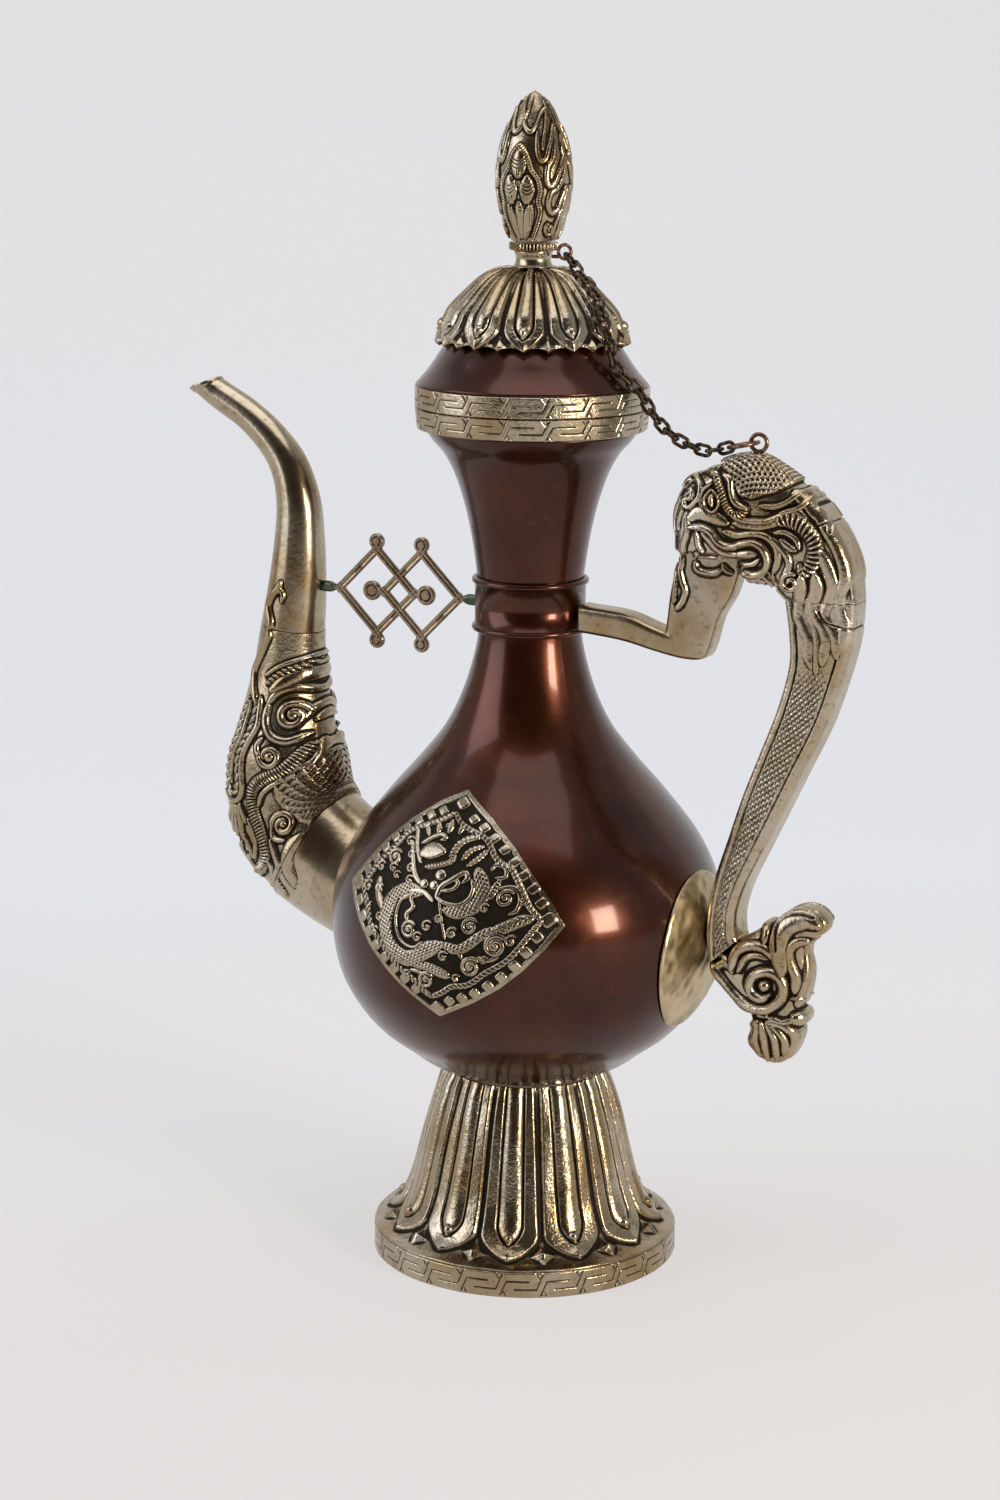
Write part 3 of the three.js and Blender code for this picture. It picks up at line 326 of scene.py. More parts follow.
def walled(profile, wall):
    """A profile that goes up the outside and comes back down inside the wall."""
    inside = profile - outward(profile) * wall
    inside[:, 0] = np.maximum(inside[:, 0], 0)
    inside[0, 1], inside[-1, 1] = profile[0, 1], profile[-1, 1]
    return np.vstack([profile, inside[::-1]])


patinated_copper, tree = new_material("oiled_dark_patina_on_copper")
# The dark red-brown skin of oxide lets warmer copper through in clouds, and the oil rubbed into
# it gives one soft pale gloss over all; faint hammer facets, 14 mm across, soften reflections.
place = add_node(tree, "ShaderNodeTexCoord")["Object"]
clouds = add_node(tree, "ShaderNodeTexNoise", inputs={
    "Vector": place, "Scale": 1 / (38 * MM), "Detail": 4,
})["Fac"]
spots = add_node(tree, "ShaderNodeTexNoise", inputs={
    "Vector": place, "Scale": 1 / (6 * MM), "Detail": 5,
})["Fac"]
warm = add_node(tree, "ShaderNodeMapRange", inputs={"Value": clouds, "From Min": 0.35, "From Max": 0.75})[0]
colour = add_node(tree, "ShaderNodeMix", {"data_type": "RGBA"}, {
    0: warm, 6: linear(copper_dark), 7: linear(copper_warm),
})[2]
worn = add_node(tree, "ShaderNodeMapRange", inputs={
    "Value": spots, "From Min": 0.6, "From Max": 0.9, "To Max": 0.4,
})[0]
colour = add_node(tree, "ShaderNodeMix", {"data_type": "RGBA"}, {
    0: worn, 6: colour, 7: linear(copper_worn),
})[2]
rough = add_node(tree, "ShaderNodeMapRange", inputs={"Value": spots, "To Min": 0.2, "To Max": 0.34})[0]
facets = add_node(tree, "ShaderNodeTexNoise", inputs={
    "Vector": place, "Scale": 1 / (14 * MM), "Detail": 1,
})["Fac"]
pores = add_node(tree, "ShaderNodeTexNoise", inputs={
    "Vector": place, "Scale": 1 / (0.8 * MM), "Detail": 2,
})["Fac"]
hammered = add_node(tree, "ShaderNodeBump", inputs={
    "Height": facets, "Distance": 0.16 * MM, "Strength": 1,
})[0]
hammered = add_node(tree, "ShaderNodeBump", inputs={
    "Height": pores, "Distance": 0.006 * MM, "Strength": 1, "Normal": hammered,
})[0]
patina = add_node(tree, "ShaderNodeBsdfPrincipled", inputs={
    "Base Color": colour, "Metallic": 0.8, "Roughness": rough, "Normal": hammered,
    "Coat Weight": 0.35, "Coat Roughness": 0.1,
})
add_node(tree, "ShaderNodeOutputMaterial", inputs={"Surface": patina[0]})

belly_line = [
    (28.6, 67.2), (36.5, 70.9), (43.2, 75.9), (52.2, 82.9), (59.5, 91.9), (64.9, 103), (67.3, 117.6),
    (66.1, 132.7), (59.7, 147.7), (48.5, 162.7), (37.0, 176.0), (28.1, 187.7), (22.0, 201.1),
    (18.0, 216.1), (17.0, 229.3),
]
bottom_dish = [(0, 62.7), (12, 63.2), (22, 64.6)]
neck_line = [
    (17.0, 229.8), (18.4, 241.5), (20.2, 253.2), (22.6, 263.7), (25.7, 273.1), (29.3, 280.1),
    (33.3, 284.8), (36.0, 288.5),
]
neck_line = smooth_line(neck_line, 70)
neck = surface("copper_neck", spun(walled(neck_line, sheet_wall), vessel_around), loop=True)
neck = as_object(neck, patinated_copper, "vessel")
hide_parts("neck")

# Close to the foot the sheet was gathered in, which left small wrinkles all the way round
belly_outside = smooth_line(bottom_dish + belly_line, 150)
belly_around = 480
belly_points = spun(walled(belly_outside, sheet_wall), belly_around)
turn = round_turns(belly_around)
gathers = 0.16 * np.sin(58 * turn + 2 * np.sin(5 * turn)) * (0.6 + 0.4 * np.sin(9 * turn))
gathers = gathers * np.interp(belly_points[..., 2], (66.5, 68.5, 71, 79), (0, 1, 1, 0))
belly_radii = np.hypot(*belly_points[..., :2].T).T
belly_points[..., :2] *= (1 + gathers / np.maximum(5, belly_radii))[..., None]
belly = surface("copper_belly", belly_points)
belly = as_object(belly, patinated_copper, "vessel")
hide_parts("belly")

# The collar is a copper sleeve that hides the seam of the neck and carries the handle's arm
# and the spout's strut. A bead is rolled at both its edges.

collar_bottom, collar_top = 220.2, 238.6
collar_bore, collar_face = 18.2, 18.75
collar_bead = 1.1
bead_steps = 8
collar_line = [(collar_bore, collar_bottom)]
for middle in (collar_bottom + collar_bead, collar_top - collar_bead):
    for step in range(bead_steps + 1):
        turn = math.pi * (step / bead_steps - 0.5)
        bulge = collar_face + collar_bead * math.cos(turn)
        collar_line.append((bulge, middle + collar_bead * math.sin(turn)))
collar_line.append((collar_bore, collar_top))
collar_line = np.array(collar_line)
collar = surface("copper_collar", spun(collar_line, vessel_around), loop=True)
collar = as_object(collar, patinated_copper, "vessel")
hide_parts("neck_collar")

# Two bands of white metal close the mouth: the ring soldered on the neck and the band of the
# lid. A third goes round the foot. A key-fret is cut into each with a graver and blackened.

silver_bright = "#b8ad97"
silver_warm = "#98805a"
silver_tarnish = "#64523a"
recess_black = "#120f0b"
fret_length = 13.8
graver_width = 0.34
graver_depth = 0.3
step_round, step_up = 0.24, 0.16


def embossed_metal(name, grain_mm, black_share, uneven_mm=0.12, bright=silver_bright, warm=silver_warm):
    """Nickel brass that was embossed, blackened and rubbed bright again on its high places."""
    material, tree = new_material(name)
    place = add_node(tree, "ShaderNodeTexCoord")["Object"]
    recess = add_node(tree, "ShaderNodeAttribute", {"attribute_name": "recess"})["Fac"]
    clouds, spots, grain, waves = [
        add_node(tree, "ShaderNodeTexNoise", inputs={
            "Vector": place, "Scale": 1 / (size * MM), "Detail": detail,
        })["Fac"]
        for size, detail in ((22, 4), (2.2, 4), (grain_mm, 3), (grain_mm * 6, 2))
    ]
    golden = add_node(tree, "ShaderNodeMapRange", inputs={
        "Value": clouds, "From Min": 0.35, "From Max": 0.7,
    })[0]
    colour = add_node(tree, "ShaderNodeMix", {"data_type": "RGBA"}, {
        0: golden, 6: linear(bright), 7: linear(warm),
    })[2]
    dull = add_node(tree, "ShaderNodeMapRange", inputs={
        "Value": spots, "From Min": 0.54, "From Max": 0.8, "To Max": 0.7,
    })[0]
    colour = add_node(tree, "ShaderNodeMix", {"data_type": "RGBA"}, {
        0: dull, 6: colour, 7: linear(silver_tarnish),
    })[2]
    # The black stays where the rubbing cloth did not reach, and its edge follows the spots
    kept = add_node(tree, "ShaderNodeMath", {"operation": "MULTIPLY_ADD"}, {0: spots, 1: 0.35, 2: recess})[0]
    black = add_node(tree, "ShaderNodeMapRange", inputs={
        "Value": kept, "From Min": 0.3 - black_share, "From Max": 0.68 - black_share, "To Max": 0.95,
    })[0]
    colour = add_node(tree, "ShaderNodeMix", {"data_type": "RGBA"}, {
        0: black, 6: colour, 7: linear(recess_black),
    })[2]
    rough = add_node(tree, "ShaderNodeMath", {"operation": "MULTIPLY_ADD"}, {0: black, 1: 0.4, 2: 0.22})[0]
    bump = add_node(tree, "ShaderNodeBump", inputs={
        "Height": grain, "Distance": uneven_mm * MM, "Strength": 1,
    })[0]
    bump = add_node(tree, "ShaderNodeBump", inputs={
        "Height": waves, "Distance": 2 * uneven_mm * MM, "Strength": 1, "Normal": bump,
    })[0]
    skin = add_node(tree, "ShaderNodeBsdfPrincipled", inputs={
        "Base Color": colour, "Metallic": 1.0, "Roughness": rough, "Normal": bump,
    })
    add_node(tree, "ShaderNodeOutputMaterial", inputs={"Surface": skin[0]})
    return material


def mark_recesses(mesh, reach_mm, full_mm, ground=0):
    """Stores how far each vertex lies below the smoothed surface: 1 is full_mm deep.

    Where a relief is known, its ground counts as a recess by the share given.
    """
    count = len(mesh.vertices)
    place = np.empty(count * 3)
    mesh.vertices.foreach_get("co", place)
    place = place.reshape(-1, 3)
    ends = np.empty(len(mesh.edges) * 2, np.int64)
    mesh.edges.foreach_get("vertices", ends)
    ends = ends.reshape(-1, 2)
    both = np.concatenate([ends, ends[:, ::-1]])
    normal = np.empty(count * 3)
    mesh.vertex_normals.foreach_get("vector", normal)
    normal = normal.reshape(-1, 3)
    step = np.linalg.norm(place[ends[:, 0]] - place[ends[:, 1]], axis=1).mean()
    rounds = int(np.clip((reach_mm * MM / step) ** 2, 4, 90))
    share = np.bincount(both[:, 0], minlength=count)[:, None]
    smooth = place.copy()
    for _ in range(rounds):
        total = np.stack([
            np.bincount(both[:, 0], smooth[both[:, 1], axis], count) for axis in range(3)
        ], 1)
        smooth = 0.5 * smooth + 0.5 * total / share
    depth = ((smooth - place) * normal).sum(1) / (full_mm * MM)
    if "raised_mm" in mesh.attributes:
        raised_mm = np.empty(count)
        mesh.attributes["raised_mm"].data.foreach_get("value", raised_mm)
        depth = np.maximum(depth, ground * np.clip(1 - raised_mm / 0.8, 0, 1))
    attribute = mesh.attributes.new("recess", "FLOAT", "POINT")
    attribute.data.foreach_set("value", np.clip(depth, 0, 1).astype(np.float32))


def nearest_on_line(x, z, line):
    """Each point's distance to a line, the distance along it and the side it lies on."""
    best, along, side = np.full(x.shape, 1e9), np.zeros(x.shape), np.zeros(x.shape)
    start = 0
    for (x0, z0), (x1, z1) in zip(line[:-1], line[1:]):
        dx, dz = x1 - x0, z1 - z0
        length = max(1e-9, math.hypot(dx, dz))
        share = np.clip(((x - x0) * dx + (z - z0) * dz) / length ** 2, 0, 1)
        off_x, off_z = x - x0 - share * dx, z - z0 - share * dz
        away = np.hypot(off_x, off_z)
        closer = away < best
        best = np.where(closer, away, best)
        along = np.where(closer, start + share * length, along)
        side = np.where(closer, (dx * off_z - dz * off_x) / length, side)
        start += length
    return best, along, side


# One unit of the fret, in shares of its length and of the band's height: the strap's two
# edges, each running on into a level line, and the hatched corners above and below
fret_lines = [
    [(0.11, 0), (0.3, 0.66), (0.84, 0.66)],
    [(0.22, 1), (0.04, 0.34), (-0.5, 0.34)],
    [(1.22, 1), (1.04, 0.34), (0.5, 0.34)],
    [(0.02, 1), (0.12, 0.74), (0.2, 0.94)],
    [(0.13, 0.06), (0.22, 0.26), (0.31, 0)],
    [(1.02, 1), (1.12, 0.74)],
]


def engraved_band(name, material, inner, profile, edge, node, body):
    """A ring whose outer face, between two radii and heights, carries the cut fret."""
    (low_radius, low), (high_radius, high) = profile
    around = int(2 * math.pi * high_radius / step_round)
    units = round(2 * math.pi * high_radius / fret_length)
    length = 2 * math.pi * high_radius / units
    face_rows = int((high - low - 2 * edge) / step_up)
    rise = np.linspace(0, 1, face_rows)
    heights = low + edge + rise * (high - low - 2 * edge)
    radii = low_radius + (high_radius - low_radius) * rise
    turn = round_turns(around)
    across = np.broadcast_to((turn * high_radius) % length, (face_rows, around))
    along = np.broadcast_to((heights - low)[:, None], (face_rows, around))
    depth = np.zeros((face_rows, around))
    for line in fret_lines:
        sized = [(x * length, y * (high - low)) for x, y in line]
        cut = 1 - nearest_on_line(across, along, sized)[0] / graver_width
        depth = np.maximum(depth, np.clip(cut, 0, 1))
    wobble = 0.05 * np.sin(5 * turn) + 0.04 * np.sin(13 * turn + 2)
    outer = radii[:, None] - graver_depth * depth + wobble
    below = [about_axis(radius + wobble, turn, low) for radius in (inner, low_radius - edge)]
    above = [about_axis(radius + wobble, turn, high) for radius in (high_radius - edge, inner)]
    mesh = surface(name, np.array([*below, *about_axis(outer, turn, heights[:, None]), *above]), loop=True)
    mesh.set_sharp_from_angle(angle=math.radians(50))
    mark_recesses(mesh, 0.9, 0.1)
    piece = as_object(mesh, material, body)
    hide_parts(node)


engraved_metal = embossed_metal("graved_and_blackened_nickel_brass", 0.7, 0.0)
for name, inner, profile, edge, node, body in (
    ("foot_band_fret", 50.6, [(53, 0), (53, 8.9)], 0.35, "foot_band", "vessel"),
    ("mouth_ring_fret", 34.2, [(38.6, 288.8), (39.3, 295.8)], 0.3, "mouth_ring", "vessel"),
    ("lid_band_fret", 34.1, [(39.3, 296.1), (39.3, 303.1)], 0.3, "lid_band", "lid"),
):
    engraved_band(name, engraved_metal, inner, profile, edge, node, body)

# The lid's spigot is a plain sleeve of the same metal that centres the lid in the mouth. It
# shows only when the lid is lifted.

spigot_line = np.array([(32.5, 288.3), (33.5, 288.3), (33.7, 288.7), (33.7, 303.1), (32.5, 303.1)])
sleeve_metal = embossed_metal("turned_nickel_brass", 0.5, -0.1)
spigot = surface("lid_sleeve", spun(spigot_line, vessel_around), loop=True)
spigot.set_sharp_from_angle(angle=math.radians(40))
spigot = as_object(spigot, sleeve_metal, "lid")
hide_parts("lid_spigot")

# The foot is a skirt of sheet silver-white metal, embossed over pitch with twelve long lotus
# petals: a raised margin, a dark groove and a long lobe with a bead. Studs stand between tips.

petals = 12
foot_line = [
    (52.7, 9.2), (52.4, 9.7), (50.6, 10.2), (47.4, 11.1), (44.4, 13.2), (41.9, 16.8), (39.9, 20.6),
    (37.7, 26.8), (36.0, 33.4), (33.9, 42), (31.7, 50.6), (29.3, 58.4), (26.9, 66),
]
foot_phase = camera_turn - math.radians(90 + 7.1)


def smooth_step(low, high, value):
    share = np.clip((value - low) / (high - low), 0, 1)
    return share * share * (3 - 2 * share)


def petal_relief(across, up_petal, half, tip_length, lobe_start, lobe_share, depth, bead):
    """The relief of a petal: across from its middle, up from its tip, between its neighbours."""
    shaped = np.sin(np.pi / 2 * np.clip(up_petal / tip_length, 0, 1)) ** 1.05
    width = (half - 0.35) * shaped
    inside = (width - np.abs(across)) * 0.85
    leaf = smooth_step(0, 0.9, inside) * np.where(up_petal > 0, 1, 0)
    lobe_up = up_petal - lobe_start
    lobe_shaped = np.sin(np.pi / 2 * np.clip(lobe_up / (0.7 * tip_length), 0, 1)) ** 0.8
    lobe_width = np.maximum(0.01, lobe_share * (half - 0.35) * lobe_shaped)
    beyond = np.abs(across) - lobe_width
    margin = depth * (0.72 - 0.25 * smooth_step(1.2, 0, inside))
    leaf = leaf * margin
    groove = depth * 0.62 * smooth_step(0.75, 0.1, np.abs(beyond)) * (lobe_up > -0.3)
    leaf = np.maximum(0, leaf - groove)
    rounding = np.sqrt(np.clip(1 - (across / lobe_width) ** 2, 0, 1)) * (lobe_up > 0)
    leaf = np.maximum(leaf, depth * 1.1 * rounding)
    keel = np.clip(1 - np.abs(across) / (0.5 * np.maximum(width, 0.1)), 0, 1) * (lobe_up < 0.5)
    leaf = leaf + depth * 0.3 * keel * (inside > 0) * smooth_step(-0.5, 1.5, up_petal)
    bead_away = np.hypot(across, lobe_up - bead * 1.7) / bead
    leaf = leaf + depth * 0.5 * np.sqrt(np.clip(1 - bead_away ** 2, 0, 1))
    return leaf


def lotus_sheet(name, line, rows, around, phase, wall, options, stud, top_fade, scallop=0):
    """A turned sheet raised into a ring of petals with studs between their tips."""
    floor = smooth_line(line, rows)
    normal = outward(floor)
    travel = travel_along(floor)
    turn = round_turns(around)
    sector = 2 * np.pi / petals
    off = (turn - phase + sector / 2) % sector - sector / 2
    # Between the tips and the studs the edge is cut back
    cut_back = scallop * np.abs(np.sin(2 * np.pi * off / sector))
    ups = cut_back + (travel / travel[-1])[:, None] * (travel[-1] - cut_back)
    radius, height, out_r, out_z = [
        np.interp(ups, travel, line) for line in (floor[:, 0], floor[:, 1], normal[:, 0], normal[:, 1])
    ]
    across = off[None, :] * radius
    tip_at, half_margin = options["tip_at"], radius * sector / 2
    relief = petal_relief(
        across, ups - tip_at, half_margin, options["tip_length"], options["lobe_start"],
        options["lobe_share"], options["depth"], options["bead"],
    )
    stud_off = (turn - phase) % sector - sector / 2
    size, stud_at, stud_rise = stud
    stud_away = (np.abs(stud_off[None, :] * radius) + np.abs(ups - stud_at)) / size
    relief = np.maximum(relief, stud_rise * np.clip(1 - stud_away, 0, 1))
    edge = smooth_step(0, 0.5, ups - cut_back)
    top = 1 - top_fade * smooth_step(travel[-1] - 5, travel[-1], ups)
    hand = 0.12 * np.sin(7 * turn + 0.11 * ups) + 0.1 * np.sin(17 * turn - 0.2 * ups)
    relief = relief * edge * top + hand * edge
    outside, inside = [
        about_axis(radius + out_r * lift, turn, height + out_z * lift) for lift in (relief, -wall)
    ]
    mesh = surface(name, np.concatenate([outside, inside[::-6]]), loop=True)
    mark_recesses(mesh, 2.2, 0.32)
    return mesh


chased_metal = embossed_metal("embossed_blackened_nickel_brass", 0.8, 0.06)
foot = lotus_sheet("lotus_foot", foot_line, 190, 720, foot_phase, 1.2, {
    "tip_at": 4.3, "tip_length": 11, "lobe_start": 6.6, "lobe_share": 0.42, "depth": 1.85, "bead": 1.6,
}, (4.4, 7.4, 2.4), 0.3)
foot = as_object(foot, chased_metal, "vessel")
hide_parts("foot_shell")

# The lid's cone is copper sheet like the vessel. Over it sits the lotus cap, embossed like the
# foot with twelve short petals, and cut back between their tips and the studs to a scalloped edge.

cone_line = smooth_line([
    (39.0, 303.4), (34.5, 308.7), (29.8, 315.7), (23.1, 324.4), (14.0, 332.8), (6.5, 337.2), (0, 338.4),
], 60)
cone = surface("copper_cone", spun(walled(cone_line, sheet_wall), vessel_around), loop=True)
cone = as_object(cone, patinated_copper, "lid")
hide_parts("lid_dome")

cap_line = [
    (31.2, 316.3), (30.9, 318.2), (30.3, 320.2), (27.9, 325.2), (26.6, 327.6), (22.6, 331.9),
    (17.0, 337.1), (12, 339.8), (6.7, 341.4),
]
cap_phase = camera_turn - math.radians(90 + 5.7)
cap = lotus_sheet("lotus_cap_petals", cap_line, 130, 720, cap_phase, 1.1, {
    "tip_at": -0.4, "tip_length": 8.5, "lobe_start": 4.4, "lobe_share": 0.42, "depth": 1.75, "bead": 1.5,
}, (3.0, 1.7, 2.0), 0.5, scallop=1.9)
cap = as_object(cap, chased_metal, "lid")
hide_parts("lotus_cap")

# The spout is one tube of sheet metal on three pieces: a plain bright sleeve at the belly, the
# makara that was cast and chased as its root, and the drawn tube that leaves its mouth.


def spiral(centre, radius, turns, start, inner_share=0.2):
    """Points of a spiral that runs inwards; a negative count of turns runs the other way."""
    share = np.linspace(0, 1, int(abs(turns) * 14) + 3)
    turn = math.radians(start) + share * turns * 2 * math.pi
    size = radius * (1 - (1 - inner_share) * share)
    return np.stack([centre[0] + size * np.cos(turn), centre[1] + size * np.sin(turn)], 1)


def knob(centre, radius, rise):
    return [centre, (centre[0] + 0.05, centre[1])], radius, rise


def raised(x, z, strokes):
    """The height of rounded strokes: each has points, half width, rise and a pitch if twisted."""
    height, depth = np.zeros(x.shape), np.zeros(x.shape)
    for points, width, rise, *twist in strokes:
        points = np.asarray(points, float)
        length = np.linalg.norm(np.diff(points, axis=0), axis=1).sum()
        line = smooth_line(points, max(4, int(length / 0.9))) if len(points) > 2 else points
        low, high = line.min(0) - width, line.max(0) + width
        near = (x > low[0]) & (x < high[0]) & (z > low[1]) & (z < high[1])
        if not near.any():
            continue
        away, along, side = nearest_on_line(x[near], z[near], line)
        ends = np.clip(np.minimum(along, length - along) / (1.6 * width), 0, 1) if length > 1 else 1
        narrowed = width * (0.45 + 0.55 * np.sqrt(ends))
        bump = np.sqrt(np.clip(1 - (away / narrowed) ** 2, 0, 1))
        if twist:
            bump = bump * (0.76 + 0.24 * np.sin(2 * np.pi * along / twist[0] + 2.2 * side / width))
        if rise > 0:
            height[near] = np.maximum(height[near], rise * bump)
        else:
            depth[near] = np.minimum(depth[near], rise * bump)
    return height + depth


def fuller(strokes, by):
    """The same strokes, grown in width."""
    return [(points, width * by, rise, *twist) for points, width, rise, *twist in strokes]


def scaled(along, across, long, wide):
    """Overlapping scales whose free rims, towards growing along, are raised."""
    row = np.floor(along / long)
    over = []
    for own in (row - 1, row):
        shift = 0.5 * (own % 2)
        centre = (np.round(across / wide - shift) + shift) * wide
        over.append(np.hypot((along - own * long) / (1.6 * long), (across - centre) / (0.62 * wide)))
    return np.where(over[0] < 1, over[0], over[1]) ** 2


quarter_steps = 360


def carved(stations, power, rows, around, relief, wall=0, end_power=None):
    """A body along stations of inner x, z, outer x, z and half width across, raised by a relief.

    The section is a circle at a power of 2 and nears a box as the power grows; end_power is that
    of the far end. The relief gets each point's x and z, its distance along, its distances from
    the inner and outer edge, the girth from the outer edge round to it, and how squarely it faces
    sideways.
    """
    stations = smooth_line(stations, rows)
    inner, outer, half = stations[:, 0:2], stations[:, 2:4], stations[:, 4:5]
    middle, reach = (inner + outer) / 2, (outer - inner) / 2
    travel = travel_along(middle)
    fine = np.linspace(0, 2 * np.pi, 4 * quarter_steps + 1)
    aspect = np.linalg.norm(reach, axis=1).mean() / half.mean()
    across, side = np.empty((rows, around)), np.empty((rows, around))
    powers = power + ((end_power or power) - power) * smooth_step(0.55, 1, np.linspace(0, 1, rows))
    for row, power_here in enumerate(powers):
        ring = np.stack([np.cos(fine), np.sin(fine)])
        ring /= (np.abs(ring) ** power_here).sum(0) ** (1 / power_here)
        round_trip = travel_along(ring.T * (aspect, 1))
        wanted = np.arange(around) / around * round_trip[-1]
        across[row], side[row] = [np.interp(wanted, round_trip, values) for values in ring]
    flat = middle[:, None, :] + reach[:, None, :] * across[..., None]
    points = np.stack([flat[..., 0], half * side, flat[..., 1]], -1)
    normal = np.cross(np.gradient(points, axis=0), np.roll(points, -1, 1) - np.roll(points, 1, 1))
    normal /= np.maximum(1e-9, np.linalg.norm(normal, axis=2, keepdims=True))
    centre = np.stack([middle[:, 0], 0 * middle[:, 0], middle[:, 1]], -1)[:, None]
    normal *= np.sign(((points - centre) * normal).sum(2).mean())
    width = np.linalg.norm(reach, axis=1)[:, None]
    girth = np.cumsum(np.linalg.norm(np.diff(points, axis=1, prepend=points[:, :1]), axis=2), axis=1)
    lift = relief(SimpleNamespace(
        x=flat[..., 0], z=flat[..., 1], travel=np.broadcast_to(travel[:, None], flat.shape[:2]),
        inner=width * (1 + across), outer=width * (1 - across),
        girth=np.minimum(girth, girth[:, -1:] - girth), side=np.abs(normal[..., 1]),
    ))
    raised_points = np.concatenate([points + normal * lift[..., None], lift[..., None]], -1)
    if wall:
        inside = points[::-3] - normal[::-3] * wall
        return np.concatenate([raised_points, np.concatenate([inside, 1 + 0 * inside[..., :1]], -1)])
    heart = np.concatenate([centre, 1 + 0 * centre[..., :1]], -1)
    caps = [
        heart[end] + (raised_points[end] - heart[end]) * share
        for end in (0, -1) for share in (0, 0.5, 0.85)
    ]
    return np.concatenate([caps[:3], raised_points, caps[:2:-1]])


def spout_stations(line):
    """Stations across a line of x, z, radius in the side view and half width across it."""
    line = np.array(line, float)
    along = np.gradient(line[:, :2], axis=0)
    out = np.stack([-along[:, 1], along[:, 0]], 1) / np.linalg.norm(along, axis=1, keepdims=True)
    return np.hstack([line[:, :2] - out * line[:, 2:3], line[:, :2] + out * line[:, 2:3], line[:, 3:4]])


spout_metal = embossed_metal("smooth_drawn_nickel_brass", 1.8, -0.1, 0.05)
makara_metal = embossed_metal("chased_blackened_nickel_brass", 0.9, 0.03)
# Each row of a spout's line is a place in x and z, then half the width in the side view and across
sleeve_line = [
    (-58, 122.2, 21.8, 21.8), (-66, 125.4, 22.2, 21.6), (-74, 129.2, 22.6, 21.4), (-83.4, 134.9, 23.4, 21.2),
]
sleeve_strokes = [
    ([(-78.5, 143), (-82.5, 138), (-83.6, 131.5), (-81, 125)], 2.6, 1.3),
    ([(-90.6, 139.9), (-89, 135.6), (-87.4, 130.6), (-89.9, 125.8), (-86.2, 119.2)], 1.5, 1.2),
]
sleeve_rows = 140
solder_gap = 0.35


def clear_of_belly(column):
    """A row of points along the sleeve, drawn together to start where it leaves the belly."""
    belly_there = np.interp(column[:, 2], belly_outside[:, 1], belly_outside[:, 0])
    clear = np.hypot(column[:, 0], column[:, 1]) - belly_there
    count = len(column)
    first = min(count - 2, int(np.argmax(clear > solder_gap)))
    kept = np.linspace(first, count - 1, count)
    return np.stack([np.interp(kept, np.arange(count), values) for values in column.T], 1)


sleeve = carved(
    spout_stations(sleeve_line), 2, sleeve_rows, 180,
    lambda at: raised(at.x, at.z, sleeve_strokes), wall=1.4,
)
for column in range(sleeve.shape[1]):
    sleeve[:sleeve_rows, column] = clear_of_belly(sleeve[:sleeve_rows, column])
    sleeve[sleeve_rows:, column] = clear_of_belly(sleeve[sleeve_rows:, column][::-1])[::-1]
sleeve = surface("spout_sleeve", sleeve, loop=True)
mark_recesses(sleeve, 1.6, 0.3)
sleeve = as_object(sleeve, spout_metal, "vessel")
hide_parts("spout_collar")

makara_line = [
    (-83.9, 135.3, 22.9, 20.6), (-91, 143.6, 23.2, 19.8), (-94.6, 151, 23.1, 19.2), (-95.5, 159, 22.4, 19),
    (-95.6, 167, 21.2, 18.6), (-95.5, 175, 18.6, 17), (-95, 183.4, 16.2, 15), (-94.5, 191, 14.4, 13.8),
    (-94, 198.5, 12.8, 12.6), (-93.4, 206, 12, 12), (-92.7, 212.9, 11.4, 11.4),
]
